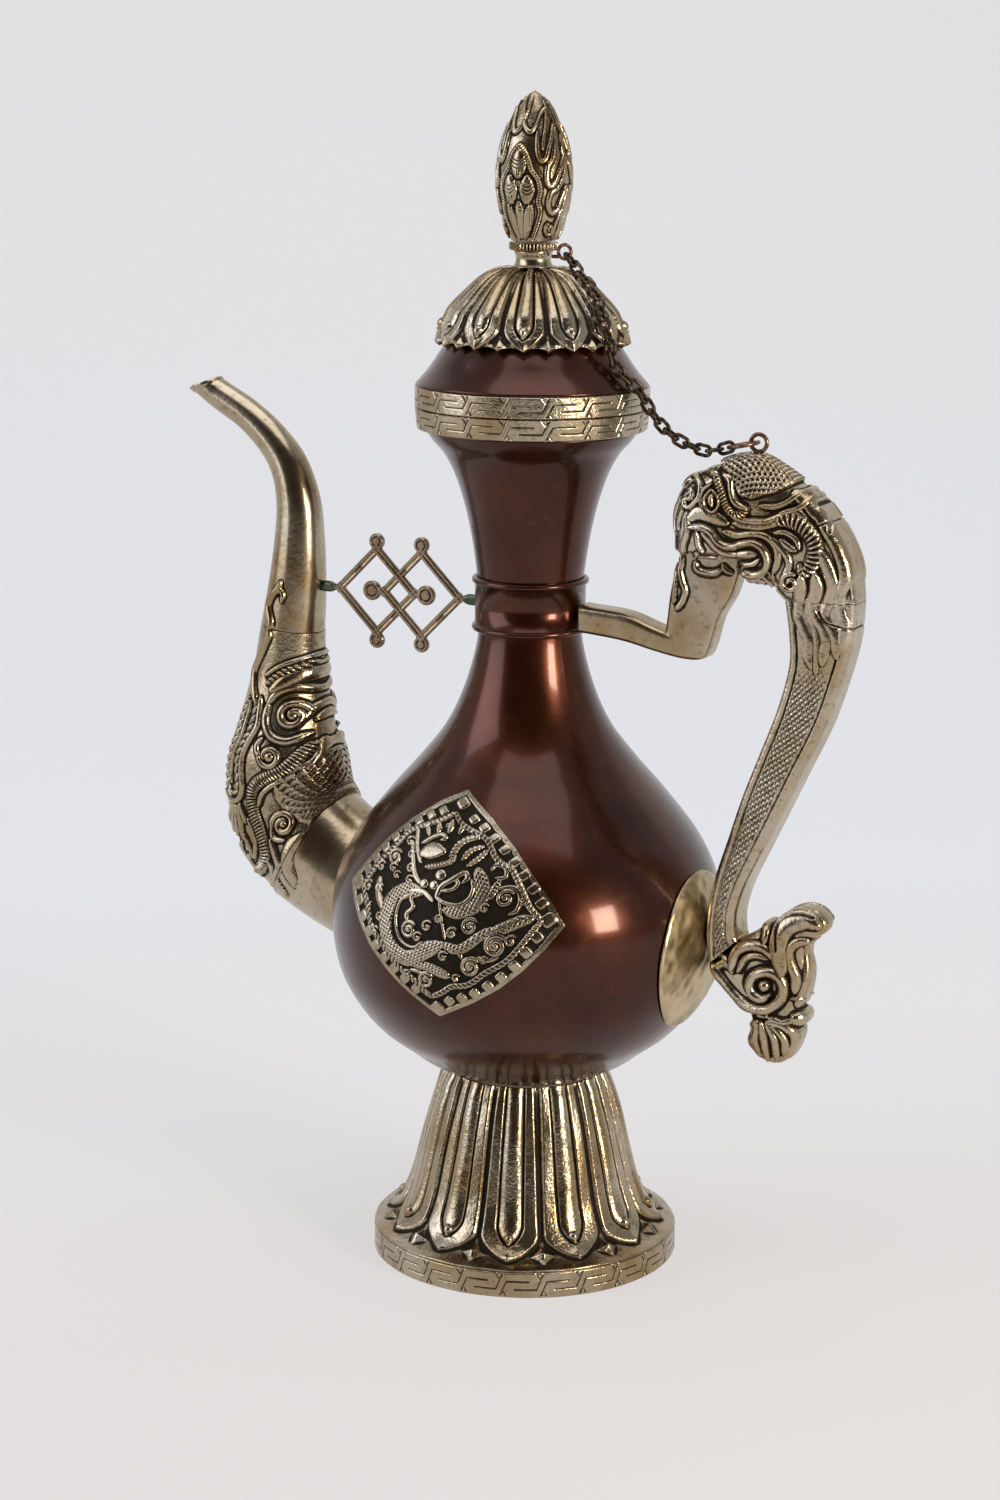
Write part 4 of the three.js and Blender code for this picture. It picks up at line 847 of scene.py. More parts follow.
# Strokes in x and z, then half width, rise and, where it is roped, the pitch of its strands
makara_strokes = [
    # The vine that comes down from the tube
    ([(-95.7, 213), (-96, 210.3), (-99.6, 203.4), (-102.3, 198.2), (-101.8, 192.5),
      (-99.9, 187.7)], 1.1, 1.5),
    # Brows, the middle one roped
    ([(-96.6, 197), (-90.9, 200.9), (-82.7, 204), (-73.7, 207.2)], 0.7, 1.1),
    ([(-95.5, 194.4), (-90.1, 198.6), (-83.5, 201.2), (-75.7, 204.3)], 1.15, 1.5, 1.9),
    ([(-93.5, 192.2), (-87.7, 196.1), (-81.1, 198.2), (-73.7, 197.4)], 2.1, 1.7),
    ([(-94.3, 187.8), (-91, 191.8), (-85.2, 193.6), (-79.9, 192.1)], 1.2, 1.5),
    # The eye, with its socket and corner
    ([(-94.3, 187.4), (-95.2, 181.5), (-92.6, 176.6), (-87, 174.9), (-80.4, 177.5)], 1.2, 1.5),
    (spiral((-86.1, 183.5), 4.9, 1.35, 20, 0.3), 1.15, 1.9),
    knob((-86.1, 183.5), 1.3, 1.8),
    ([(-83.4, 181.7), (-81.2, 185.6), (-79, 187.6), (-78.3, 185), (-80, 181.8)], 1.0, 1.6),
    # The curl of the cheek
    (spiral((-92.4, 169.3), 3.9, 1.1, 160, 0.55), 0.9, 1.5),
    knob((-92.4, 169.3), 1.5, 1.7),
    ([(-96.9, 169.2), (-97.7, 172.8), (-95.7, 175.5)], 0.8, 1.1),
    # The ribbed whisker that runs down to the chin, and the line beside it
    ([(-79.2, 174), (-83.4, 168.8), (-87.9, 164.6), (-93.4, 161.7), (-97.8, 158.4), (-99, 153.8),
      (-97.9, 148.3), (-95.5, 143.1), (-93.6, 137.3), (-93.9, 132.8), (-96.6, 128.7),
      (-100.8, 126.3)], 1.9, 1.9, 1.15),
    ([(-82.1, 167.5), (-85.5, 162.5), (-91.3, 159.1), (-94.8, 155.7), (-96, 151.5)], 0.8, 1.2),
    # The curl at the root
    (spiral((-86, 146), 4.4, -1.4, 200, 0.3), 1.0, 1.6),
    knob((-86, 146), 1.2, 1.6),
    ([(-90.4, 144.4), (-89.4, 140.8), (-84.8, 140.6)], 0.9, 1.1),
    ([(-78, 175.2), (-77.6, 170.9), (-79, 166.9)], 1.1, 1.5),
    # The beaded fin down the back, with its inner lines and its rays
    ([(-103.5, 188.3), (-106, 182.9), (-107.8, 176.1), (-110.4, 169.9), (-111.7, 162.7), (-111.6, 156.8),
      (-109.4, 153.7), (-106.4, 155.5), (-105.7, 160.4), (-106.1, 166.3), (-104.1, 172.4), (-101.1, 177.9),
      (-99.8, 183.9), (-99.5, 188)], 0.95, 1.4, 3.2),
    ([(-102.2, 187.3), (-103.6, 181.3), (-105.3, 175.3), (-108.3, 169), (-109.5, 162.2),
      (-109.1, 157.8)], 0.6, 1.0),
    ([(-97.6, 189.3), (-97.9, 184.1), (-98.4, 178.9), (-101.1, 174.2), (-103.6, 168.1), (-103.8, 162.1),
      (-103.4, 156.2), (-105.6, 152.3), (-109.2, 151.6), (-112.6, 154.5)], 0.9, 1.4),
    ([(-107.7, 150.6), (-112, 144.8), (-113.4, 141.8)], 1.1, 1.1),
    ([(-107.1, 150.2), (-110.4, 142), (-111.2, 138.9)], 1.1, 1.1),
    ([(-106.5, 150), (-107.9, 138.6)], 1.1, 1.1),
    ([(-105.4, 150.1), (-104.6, 139.4)], 1.1, 1.1),
    ([(-104.6, 150.9), (-102.3, 144.7)], 1.0, 1.1),
    # Leaves at the chin, which run on over the sleeve
    ([(-100.6, 146.2), (-98.8, 142.7), (-97.8, 137.9), (-99.3, 132.2), (-101.2, 134.9),
      (-103.2, 139.9)], 0.8, 1.2),
    ([(-102, 132), (-106, 129.5), (-108.5, 133), (-106, 136)], 1.2, 1.3),
    ([(-98.2, 124.6), (-102.5, 127.5), (-104.5, 131)], 1.1, 1.2),
    ([(-92.4, 133), (-90.7, 128.7), (-92.5, 122.5)], 1.0, 1.2),
    ([(-78.5, 143), (-82.5, 138), (-83.6, 131.5), (-81, 125)], 2.0, 1.3),
    ([(-90.6, 139.9), (-89, 135.6), (-87.4, 130.6), (-89.9, 125.8), (-88, 121)], 1.2, 1.2),
    ([(-72.5, 155), (-71.5, 162), (-73.5, 168)], 1.0, 1.2),
]


def makara_relief(at):
    slanted = at.travel * 0.9 - 0.35 * (at.x + 78)
    scales = 0.8 + 0.6 * np.maximum(0.25, scaled(slanted, at.girth, 2.3, 3.6))
    # The scales fill a round cheek below a slanting line
    cheek = smooth_step(14, 12, np.hypot((at.x + 75) * 0.85, at.z - 160))
    below = smooth_step(0, 1, 172 + 0.75 * (at.x + 76) - at.z)
    return np.maximum(raised(at.x, at.z, fuller(makara_strokes, 1.3)), scales * cheek * below)


makara_stations = np.vstack([
    spout_stations(sleeve_line)[-1:] + (-0.3, 0.2, -0.3, 0.2, 0), spout_stations(makara_line)[1:],
])
makara = surface("makara_root", carved(makara_stations, 2, 300, 440, makara_relief, wall=3), loop=True)
mark_recesses(makara, 1.5, 0.2, 0.12)
makara = as_object(makara, makara_metal, "vessel")
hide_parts("makara_head")

tube_line = [
    (-92.7, 213.3, 11.3, 11.3), (-90.9, 228, 10.2, 10.2), (-89.9, 243.8, 8.9, 8.9), (-90.3, 257.8, 7.8, 7.8),
    (-94.1, 270, 6.7, 6.7), (-101.2, 279.1, 5.9, 5.9), (-110.4, 286.6, 5.4, 5.4), (-120.4, 292.2, 5.2, 5.2),
    (-129.6, 296.4, 5.2, 5.2),
]
tube_strokes = [
    ([(-91.6, 230.2), (-92.8, 227.6), (-95.3, 225.2), (-96.8, 220.9), (-95.3, 216.1),
      (-95.8, 212)], 1.4, 1.6),
    ([(-92.6, 228), (-90.6, 226), (-91.2, 223)], 1.0, 1.2),
]
# The mouth is cut nearly level across the sloping tube, and its lip is turned out a little
tube_stations = np.vstack([spout_stations(tube_line)[:-1], [
    (-120.3, 298.0, -128.4, 291.4, 5.25), (-122.1, 298.9, -133.2, 294.7, 5.3),
]])


def tube_relief(at):
    lip = 0.4 * smooth_step(0.975, 0.988, at.travel / at.travel.max())
    return np.maximum(raised(at.x, at.z, tube_strokes), lip)


tube_points = carved(tube_stations, 2, 300, 200, tube_relief, wall=1.3)
tube = surface("drawn_spout_tube", tube_points, loop=True)
mark_recesses(tube, 1.4, 0.25)
tube = as_object(tube, spout_metal, "vessel")
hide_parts("spout_tube")

# The handle is cast and chased in five lengths that are soldered end to end: an arm out of the
# collar with its upright beam, the dragon's head that bites the beam, the grip below its mane
# and the scroll that stands on the handle plate.

strands = [
    ([(100.8, 247.7), (100.3, 243), (99.6, 237.7), (99.5, 234.2), (101.3, 230.3), (103.3, 226.3),
      (103.1, 221.6), (104.2, 218.2)], 1.9, 1.5),
    ([(105.4, 248.7), (105.8, 243.5), (104.3, 238.7), (105.2, 234.7), (108.1, 230.9), (109.4, 226.9),
      (108.6, 222.7), (108.1, 219.6)], 2.1, 1.8),
    ([(106.5, 257), (108, 254.1), (110.3, 249.1), (111.3, 244.5), (109.8, 239.7), (108.5, 235.6),
      (109.9, 232.2), (112.1, 228.3), (112.9, 222.2)], 1.9, 1.6),
    ([(104.9, 269.4), (108.9, 263.4), (112.4, 257.9), (114.7, 252.3), (115.2, 247.7), (113.8, 243),
      (113.6, 238.3), (115, 233.5), (114.6, 227.6), (112.5, 222.6)], 1.8, 1.5),
    ([(97, 274.3), (101.5, 271.7), (106, 266.5)], 1.7, 1.3),
    ([(102.8, 240.5), (103.2, 235), (105.4, 230), (106.2, 224.5), (106, 216)], 1.2, 1.4),
]
head_strokes = strands + [
    # The curled nostril
    ([(59.1, 273.4), (60, 275.5), (62.1, 276.5), (64.7, 275.2), (65.4, 272.6), (64.2, 269.9), (61.4, 267.4),
      (59.8, 268.2), (59.9, 269.9), (62, 270.4), (62.6, 271.9), (61.9, 273.3)], 0.85, 1.7),
    ([(58.7, 274.5), (61.8, 278.2), (66.5, 279.4), (69.6, 278.2)], 1.0, 1.2),
    # The roped horn over the eye
    ([(70.2, 279.1), (71.6, 276), (73.4, 272.3), (74.9, 268.7), (77.4, 266.5), (80.5, 266.9),
      (82.3, 268.8)], 1.25, 2.1, 1.1),
    ([(73.7, 278.6), (75.8, 277.3), (76.5, 274), (77.6, 270.9), (79.8, 269.3), (82.2, 268.9)], 1.1, 2.0),
    # The eye between its lids
    ([(69.6, 273.9), (67.3, 271), (67.7, 268), (70, 266.6), (72.2, 268.6), (72, 271.6),
      (69.8, 273.9)], 0.5, 1.9),
    ([(69.8, 272.2), (69.2, 270.4), (69.8, 268.6)], 1.15, 1.7),
    ([(69.3, 275.6), (66.2, 273), (65.7, 268.8), (68.3, 265.3)], 0.5, 1.4),
    # The snout and the upper lip, which curls back on itself
    ([(61.5, 263.6), (64.9, 265.9), (69.9, 264.9), (75, 263.3)], 2.0, 1.3),
    ([(62, 261), (65.6, 261.3), (69.4, 260.1), (72.3, 256.8), (76.4, 255.8), (80.8, 257.2), (84.8, 257.6),
      (88, 255.7), (89.5, 252), (88.1, 248.7), (84.1, 247), (79.8, 247.7)], 1.2, 2.2),
    ([(66.6, 259.3), (68.9, 257.5), (72.1, 253.9), (76.5, 252.7), (81.5, 253.6), (85.4, 254.0)], 1.3, 1.2),
    # The lower lip and a fang
    ([(71.5, 251.3), (75.3, 250.4), (79.7, 250), (84, 250.5), (86.4, 252.4)], 0.8, 1.0),
    ([(64.6, 252.7), (62.6, 250.7), (62.8, 250.1), (65.3, 249.8), (69.1, 249.9), (71.9, 250.4)], 1.0, 1.8),
    ([(64.5, 259.7), (64.8, 257.1), (65.1, 254.8), (66.6, 253.4)], 0.9, 1.7),
    # Folds of the cheek
    ([(77.5, 263.6), (81.2, 263), (86.2, 262.8), (91.1, 264.1), (93.9, 265.4)], 1.0, 1.2),
    ([(74, 260.5), (78.5, 259.6), (83.5, 260.4), (88.6, 260), (92.2, 256.8), (92.9, 252.5),
      (91.4, 248.2)], 1.1, 1.3),
    ([(90.6, 259.7), (93.8, 256.6), (96.2, 253.6), (96.6, 250.6), (94.6, 246.6)], 1.1, 1.3),
    # The roped ear and what fills it
    ([(92.9, 265), (96.6, 265.9), (100.6, 264.4), (104.1, 261), (105.4, 256.5), (104.2, 252.1),
      (101.6, 249.3), (100.4, 251)], 2.3, 2.6, 1.6),
    ([(91.7, 261.5), (95.2, 261.8), (98.9, 259.8), (100.3, 256.8)], 0.9, 1.5),
    ([(94, 259.4), (96.2, 257.4), (99, 256.2)], 1.2, 1.6),
    # The brow behind the crown
    ([(86.6, 269.8), (91, 269.8), (95.2, 271.3), (98.5, 273.8), (101.3, 274), (101.9, 272),
      (98.6, 269.4), (93.5, 268)], 0.95, 1.6),
    ([(77.4, 265.4), (82.4, 264.6), (88.6, 264.9), (93.5, 267), (98.2, 268.7), (102, 266.8)], 1.1, 1.4),
    # The curl of the jaw
    (spiral((97.1, 245.4), 3.3, 1.3, 60, 0.25), 0.85, 1.7),
    # Lines down the front of the snout
    ([(57.9, 270.1), (55.7, 266.4), (55.2, 262.2), (56.2, 258.2)], 0.6, 0.9),
    ([(58.9, 266.6), (57.4, 263), (57.3, 259.5)], 0.6, 0.9),
    ([(60.9, 264.2), (60.8, 259.1), (59.4, 254.9), (58.2, 250.2)], 1.0, 1.5),
    # The short beard
    ([(78.5, 246.6), (79.8, 244.9), (81.7, 243.9)], 0.55, 0.9),
    ([(81, 246.9), (82.6, 245), (84.6, 243.9)], 0.55, 0.9),
    ([(83.6, 247), (85.3, 245.2), (87.4, 244)], 0.55, 0.9),
    ([(86.2, 247.6), (88.2, 245.6), (90.2, 243.6)], 0.55, 0.9),
    ([(89, 249), (90.9, 246.9), (92.4, 244.2)], 0.55, 0.9),
    # Cuts between the locks of the mane
    ([(104.5, 277), (108.5, 273.4), (112, 268.4), (114.6, 263.2), (116.6, 257)], 0.5, -0.5),
    ([(102.5, 262), (106, 264.4), (110, 265.4), (115, 264)], 0.4, -0.6),
    ([(104, 271), (107.5, 267.4), (109.5, 262)], 0.4, -0.6),
]
crown_edge = np.array([
    (71, 281), (74.7, 279), (77.3, 275.6), (79.3, 272.2), (83, 271.4), (90.9, 273.7), (95.9, 276.4),
    (98.4, 279),
])


def head_relief(at):
    strokes = raised(at.x, at.z, fuller(head_strokes, 1.2))
    above = at.z - np.interp(at.x, crown_edge[:, 0], crown_edge[:, 1], left=300, right=300)
    crown = smooth_step(0, 0.8, above)
    scales = 0.9 + 0.75 * scaled(at.travel, at.girth, 1.35, 1.7) ** 2
    neck = 2.2 * smooth_step(253, 249.3, at.z) * smooth_step(82, 77, at.x)
    rim = 0.7 * (at.side < 0.7) * smooth_step(262, 248, at.z) * (at.x > 92)
    return np.maximum(np.maximum(strokes, rim), crown * scales) - neck


handle_metal = embossed_metal("chased_and_rubbed_nickel_brass", 0.9, -0.05, 0.12, "#c3b9a5", "#a48c66")
# Stations of the handle's pieces: the inner and outer edge in x and z, then half the thickness
head_stations = [
    (54.4, 251.5, 54.2, 268.6, 2.6), (54.8, 249.8, 55.2, 271.2, 5), (57.4, 249.2, 58, 274.6, 7.2),
    (61, 249.1, 61.8, 277.2, 8.3), (66, 249.1, 67, 279.6, 8.8), (71.5, 249.1, 73, 283, 9),
    (77.5, 249.1, 80, 284.2, 9.2), (79, 246.3, 84, 283.6, 9.2), (80.6, 244.1, 88.2, 281.6, 9.2),
    (84.7, 243.8, 93.4, 278.6, 9.1), (88.5, 243.5, 99, 275, 8.9), (91, 242.3, 105, 270, 8.6),
    (92.8, 241, 109.6, 264, 8.2), (93.8, 240.2, 113.6, 257.4, 7.7), (94.2, 239.9, 116.5, 250, 7.2),
    (94.5, 239.7, 117.9, 239.7, 6.4),
]
head = surface("dragon_head_cast", carved(head_stations, 3.4, 330, 420, head_relief, end_power=8))
mark_recesses(head, 1.4, 0.26)
head = as_object(head, handle_metal, "vessel")
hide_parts("dragon_head")


def grip_relief(at):
    rims = np.maximum(smooth_step(2.2, 1.6, at.inner), smooth_step(3, 2.4, at.outer)) * 0.75
    panel = smooth_step(2.3, 3.2, at.inner) * smooth_step(3.1, 4, at.outer)
    mane = smooth_step(208, 224, at.z)
    scales = panel * (0.3 + 0.7 * mane + 0.5 * (1 - mane) * scaled(at.travel, at.inner, 1.4, 1.75) ** 2)
    cut = raised(at.x, at.z, [([(106, 237), (110, 233), (118.5, 231.5)], 0.4, -0.5)])
    side_face = np.maximum(raised(at.x, at.z, fuller(strands, 1.15)), np.maximum(rims, scales))
    return np.where(at.side > 0.7, side_face, 0.7) + cut


grip_stations = [
    (94.6, 239.5, 117.9, 239.5, 6), (96.4, 227.7, 117.2, 227.7, 5.9), (96.6, 217.1, 114, 214.5, 5.8),
    (92.9, 202.3, 108.6, 198.2, 5.8), (87.2, 187, 100.6, 181, 5.8), (81.7, 172.4, 93.2, 165.1, 5.8),
    (76.7, 156.6, 87, 152.1, 5.8), (72.3, 142.4, 81.8, 140.7, 5.8), (70.3, 131.2, 79.3, 131.6, 5.8),
    (69.9, 122, 79.4, 124.5, 5.8), (70.9, 113.7, 80.1, 122.5, 5.8),
]
grip = surface("scaled_grip", carved(grip_stations, 9, 420, 220, grip_relief))
mark_recesses(grip, 0.9, 0.22)
grip = as_object(grip, handle_metal, "vessel")
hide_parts("handle_grip")

scroll_strokes = [
    ([(86.3, 91.5), (86.3, 87.5), (88.8, 84.4), (93.5, 82.8), (98.2, 84.4), (101, 87.9),
      (101.6, 92)], 1.1, 1.3),
    # The volute round its knob
    ([(71.4, 113.6), (74.5, 109.3), (79.5, 104.2), (85.6, 100.8), (92, 100.8), (96.8, 104.8), (97.8, 109.7),
      (95.5, 113.2), (91.6, 113.8), (87.7, 112.1), (85.9, 108.5), (87.2, 105.3), (90.4, 104.4),
      (93.3, 106.2)], 1.7, 2.5),
    knob((91.2, 108.9), 1.9, 2.6),
    ([(79.1, 112.7), (80.7, 118.7), (85, 121.7), (89.9, 121.9), (94.4, 119.2), (96.9, 115.3)], 1.6, 2.0),
    ([(81.8, 112.6), (84.2, 117.3), (88, 119), (92, 118.4)], 1.1, 1.7),
    # The big leaf and the small ones at its back
    ([(97.4, 114.2), (95.8, 122.5), (97, 128.2), (100.4, 131.6), (105, 132.9), (108.6, 131.6)], 3.1, 2.6),
    ([(95.4, 121.6), (95.4, 128.8), (98.4, 132.9), (103.2, 134.2), (107.6, 133.6)], 0.5, -0.7),
    ([(101.5, 107.9), (101.6, 113.1), (99.8, 117.4), (99.2, 121.5), (101.2, 124.6),
      (105.4, 126.3)], 1.5, 1.7),
    ([(104.9, 125.4), (105, 120.2), (105, 114.6), (103.6, 108.2), (102, 102.8)], 1.0, 1.2),
    ([(86.3, 127.6), (88.9, 129.2), (91.2, 127.3), (90.8, 123)], 1.3, 1.7),
    # The tuft of leaves below
    ([(88.6, 96), (86, 92.7), (85.3, 88.8), (86.9, 84.6)], 1.3, 1.6),
    ([(92.3, 96.5), (97.5, 95.9), (101, 93.2), (101.2, 88.9), (98.3, 84.8)], 1.3, 1.6),
    ([(88.9, 95.6), (87.9, 89.6), (89.4, 83.8)], 1.2, 1.5),
    ([(90.4, 96), (91.3, 89.7), (92, 82.8)], 1.3, 1.7),
    ([(92.3, 96), (95, 90.4), (95.2, 83.2)], 1.3, 1.7),
    ([(94.4, 95.4), (98.2, 90.8), (98, 85)], 1.2, 1.5),
    knob((102.6, 98.6), 2.3, 2.6),
    ([(93, 98), (97.5, 97), (101.3, 98.3)], 1.1, 1.5),
    ([(72.4, 111.8), (76.3, 114.3), (79.6, 112.9)], 1.2, 1.6),
    ([(74.7, 117.4), (76.8, 115.3), (79.6, 111.9)], 1.0, 1.4),
    ([(89.2, 98.3), (92.4, 98.3)], 0.8, 1.6), ([(100.4, 105.8), (103.6, 105.8)], 0.7, 1.6),
]
scroll_stations = [
    (93.6, 82, 95.2, 82.1, 2), (88.8, 84, 99.2, 85.6, 4.2), (85.6, 87.9, 101.4, 90.5, 5.4),
    (86.4, 93, 102.2, 95.3, 5.9), (84.2, 98.8, 103, 98.8, 6), (80.2, 103.2, 103, 102.6, 6.1),
    (76.2, 107, 104.4, 107.5, 6.2), (72.1, 112, 105, 114.6, 6.3), (76, 118.3, 104.2, 121, 6.3),
    (80.8, 122.7, 105.2, 125.2, 6.2), (88, 127.4, 110.4, 128.5, 5.8), (92.8, 129.8, 111.4, 132.4, 5.2),
    (97.6, 134.2, 108.4, 135.7, 4), (102, 136.5, 104.5, 136.7, 2),
]
scroll = surface("scroll_and_leaves", carved(
    scroll_stations, 3.6, 260, 320, lambda at: raised(at.x, at.z, fuller(scroll_strokes, 1.15)),
))
mark_recesses(scroll, 1.5, 0.28)
scroll = as_object(scroll, handle_metal, "vessel")
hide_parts("handle_scroll")

arm_strokes = [
    ([(57.9, 251), (57.6, 247.6), (57.2, 245.9), (58.3, 241.8), (59.3, 239.2), (58.3, 235.6),
      (56.1, 232.7)], 0.9, 1.2),
    ([(56, 248), (55.8, 245.8), (55.4, 239.8), (55.1, 234.8)], 0.7, 0.8),
    ([(62.8, 249.1), (63.4, 246.8), (66, 245.9), (69.1, 245.9), (71.6, 247.1)], 1.1, 1.4),
    ([(72.5, 249), (73.4, 247.2), (75.6, 246.4)], 1.0, 1.2),
]
arm_stations = [
    (20.4, 221.4, 20.4, 230.8, 5.4), (36.2, 219.9, 36.2, 229.6, 5.4), (48.6, 217.4, 46.6, 226.4, 5.4),
    (58.6, 215.9, 51.2, 225, 5.4), (65.4, 216.6, 51.5, 225.5, 5.4), (68, 220.9, 51.9, 228.6, 5.4),
    (70.6, 230.2, 52.7, 236.3, 5.4), (75.2, 238.6, 53.8, 242.4, 5.4), (77.7, 247.4, 55.6, 247.8, 5.4),
    (78, 253, 56.6, 253, 5.4),
]


def arm_relief(at):
    return np.where(at.side > 0.6, raised(at.x, at.z, fuller(arm_strokes, 1.2)), 0)


arm = surface("arm_and_beam", carved(arm_stations, 5, 220, 180, arm_relief))
mark_recesses(arm, 1.3, 0.25)
arm = as_object(arm, spout_metal, "vessel")
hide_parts("handle_arm")

# The strut between spout and collar is an endless knot: two squares of flat cast bar, laced
# over and under, with a chased line along each bar, a round knob on each free corner and a
# tarnished pin at both ends.

knot_centre, knot_height = -50.35, 228.4
knot_half, knot_bar, knot_pitch = 16.6, 1.42, 17.5
knot_face = 0.98
knot_sunk_share = 0.72
knob_away, knob_radius = 17.3, 2.8
end_knob_away, end_knob_radius = 19.3, 3.4
knob_around = 48
pin_neck_away, pin_neck_half = 16.4, 1.2
pin_away, pin_half, pin_thick = 18.4, 1.9, 0.99
pin_ends = {-1: -80.5, 1: -20.2}
bar_section = np.array([
    (-1, 0.5), (-0.8, 0.96), (-0.2, 1), (0, 0.72), (0.2, 1), (0.8, 0.96), (1, 0.5),
    (1, -0.5), (0.8, -0.96), (0.2, -1), (0, -0.72), (-0.2, -1), (-0.8, -0.96), (-1, -0.5),
])


def flat_bar(start, end, half, thick):
    """A grooved flat bar in the middle plane, thinned to a share where the other bars cross it."""
    start, end = np.array(start), np.array(end)
    along = (end - start) / np.linalg.norm(end - start)
    share = np.linspace(0, 1, 40)[:, None]
    place = start + (end - start) * share
    crossing = smooth_step(0.3, 0.1, np.abs(np.abs(share - 0.5) - 0.23))
    level = knot_face * (1 - (1 - thick) * crossing)
    across = bar_section[None, :, 0] * half
    return np.stack([
        place[:, :1] - along[1] * across,
        level * bar_section[None, :, 1],
        place[:, 1:] + along[0] * across,
    ], -1)


def knob_disc(x, z, radius):
    """A domed disc across the middle plane with a chased ring on both faces."""
    profile = [
        (0, 1), (0.3, 1), (0.44, 0.98), (0.52, 0.72), (0.6, 0.72), (0.68, 0.98), (0.9, 0.95), (1, 0.6),
    ]
    profile = np.array(profile + [(r, -y) for r, y in profile[::-1]])
    turn = round_turns(knob_around)
    return np.stack([
        x + radius * profile[:, :1] * np.cos(turn),
        np.repeat(knot_face * profile[:, 1:], knob_around, axis=1),
        z + radius * profile[:, :1] * np.sin(turn),
    ], -1)


knot_parts, pin_parts = [], []
for side in (-1, 1):
    x = knot_centre + side * knot_pitch / 2
    reach = knot_half - knot_bar * math.sqrt(2)
    corners = [
        (x - reach, knot_height), (x, knot_height + reach),
        (x + reach, knot_height), (x, knot_height - reach),
    ]
    for i, corner in enumerate(corners):
        following = corners[(i + 1) % 4]
        falls = (following[0] - corner[0]) * (following[1] - corner[1]) < 0
        away = np.sign(np.subtract(following, corner)) * knot_bar * math.sqrt(0.5)
        knot_parts.append(flat_bar(
            np.subtract(corner, away), np.add(following, away), knot_bar, 1 if falls else knot_sunk_share,
        ))
    for knob_x, knob_z, radius in (
        (x, knot_height + knob_away, knob_radius), (x, knot_height - knob_away, knob_radius),
        (x - side * end_knob_away, knot_height, end_knob_radius),
    ):
        knot_parts.append(knob_disc(knob_x, knob_z, radius))
    pin_stations = [
        (end, knot_height - half, end, knot_height + half, thick) for end, half, thick in (
            (x + side * pin_neck_away, pin_neck_half, 0.95),
            (x + side * pin_away, pin_half, pin_thick),
            (pin_ends[side], pin_half, pin_thick),
        )
    ]
    pin_parts.append(carved(pin_stations, 2, 24, 32, lambda at: 0 * at.x))
strut_metal = embossed_metal("dull_cast_nickel_brass", 0.6, 0.06, 0.08, "#a29078", "#84705a")
pin_metal = embossed_metal("verdigris_tarnished_brass", 0.6, 0.1, 0.1, "#5b6a5a", "#3f4a3e")


def gathered(name, parts):
    """One mesh out of several separate surfaces."""
    whole = bmesh.new()
    for part in parts:
        mesh = surface(name, part)
        whole.from_mesh(mesh)
        bpy.data.meshes.remove(mesh)
    mesh = bpy.data.meshes.new(name)
    whole.to_mesh(mesh)
    whole.free()
    mesh.shade_smooth()
    return mesh


for name, parts, metal, sharp in (
    ("knot_bars", knot_parts, strut_metal, 38), ("knot_pins", pin_parts, pin_metal, 60),
):
    mesh = gathered(name, parts)
    mesh.set_sharp_from_angle(angle=math.radians(sharp))
    mark_recesses(mesh, 0.8, 0.2)
    strut = as_object(mesh, metal, "vessel")
    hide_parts("endless_knot_strut")

# The finial is a cluster of flaming jewels, cast in one with a ridge of flames towards the
# spout and one towards the handle. It screws into a waisted stem with a reeded collar.

bud_top = 399.3
bud_radius, bud_half_width = 12.3, 12.85
bud_line = smooth_line([
    (7.7, 350.6), (9.4, 355), (10.8, 360), (12.0, 366), (12.3, 372), (11.7, 378), (10.2, 384), (7.6, 390),
    (5.2, 394.6), (2.8, 397.6), (0, bud_top),
], 300)
bud_around = 560
bud_degree = bud_radius * math.pi / 180
# Strokes in degrees round the bud and millimetres up it, then half width, rise and pitch
jewel_strokes = [
    ([(0, 379.6), (0, 372.6)], 2.7, 1.3), ([(15, 371.3), (14, 364)], 2.4, 1.3),
    ([(0, 363.4), (0, 352)], 1.35, 1.0), ([(20, 362.3), (14, 357), (7, 352)], 1.7, 1.0),
    ([(22, 350.9), (33, 356.3), (37, 360.6), (33, 363.9), (36, 367.2), (32, 371), (21, 374.4), (16, 377.7),
      (8, 380.6), (-3, 382.6)], 0.75, 1.0, 0.9),
]
flame_strokes = [
    ([(63, 393.8), (42, 391.9), (28, 388.1), (19, 386.2), (8, 387.2), (0, 390), (10, 394.3),
      (20, 398)], 0.7, 1.2),
    ([(60, 393.4), (51, 388.6), (43, 383.9), (40, 380.6)], 0.6, 1.0),
    ([(31, 386.2), (31, 380.1), (37, 376.9), (45, 377.8), (53, 382), (68, 388.5)], 0.75, 1.3),
    ([(70, 387.2), (62, 382), (57, 377.7), (48, 375.3), (46, 371), (52, 368.7), (60, 370.1),
      (68, 373.4), (84, 379.2)], 0.8, 1.3),
    ([(84, 377.2), (76, 372), (65, 368.4), (54, 366.8), (50, 363), (57, 360.2), (68, 361.1),
      (75, 364.9), (84, 368.7)], 0.85, 1.3),
    ([(80, 361.5), (74, 358.6), (70, 354.5), (74, 351.6)], 0.7, 1.1),
    ([(89, 368), (84, 362), (86, 356.3), (84, 351.6)], 0.8, 1.0),
    ([(89, 397), (84, 391), (88, 386), (80, 381), (88, 376)], 0.9, 1.0),
    ([(64, 396), (74, 391), (72, 386)], 0.6, 0.9),
]
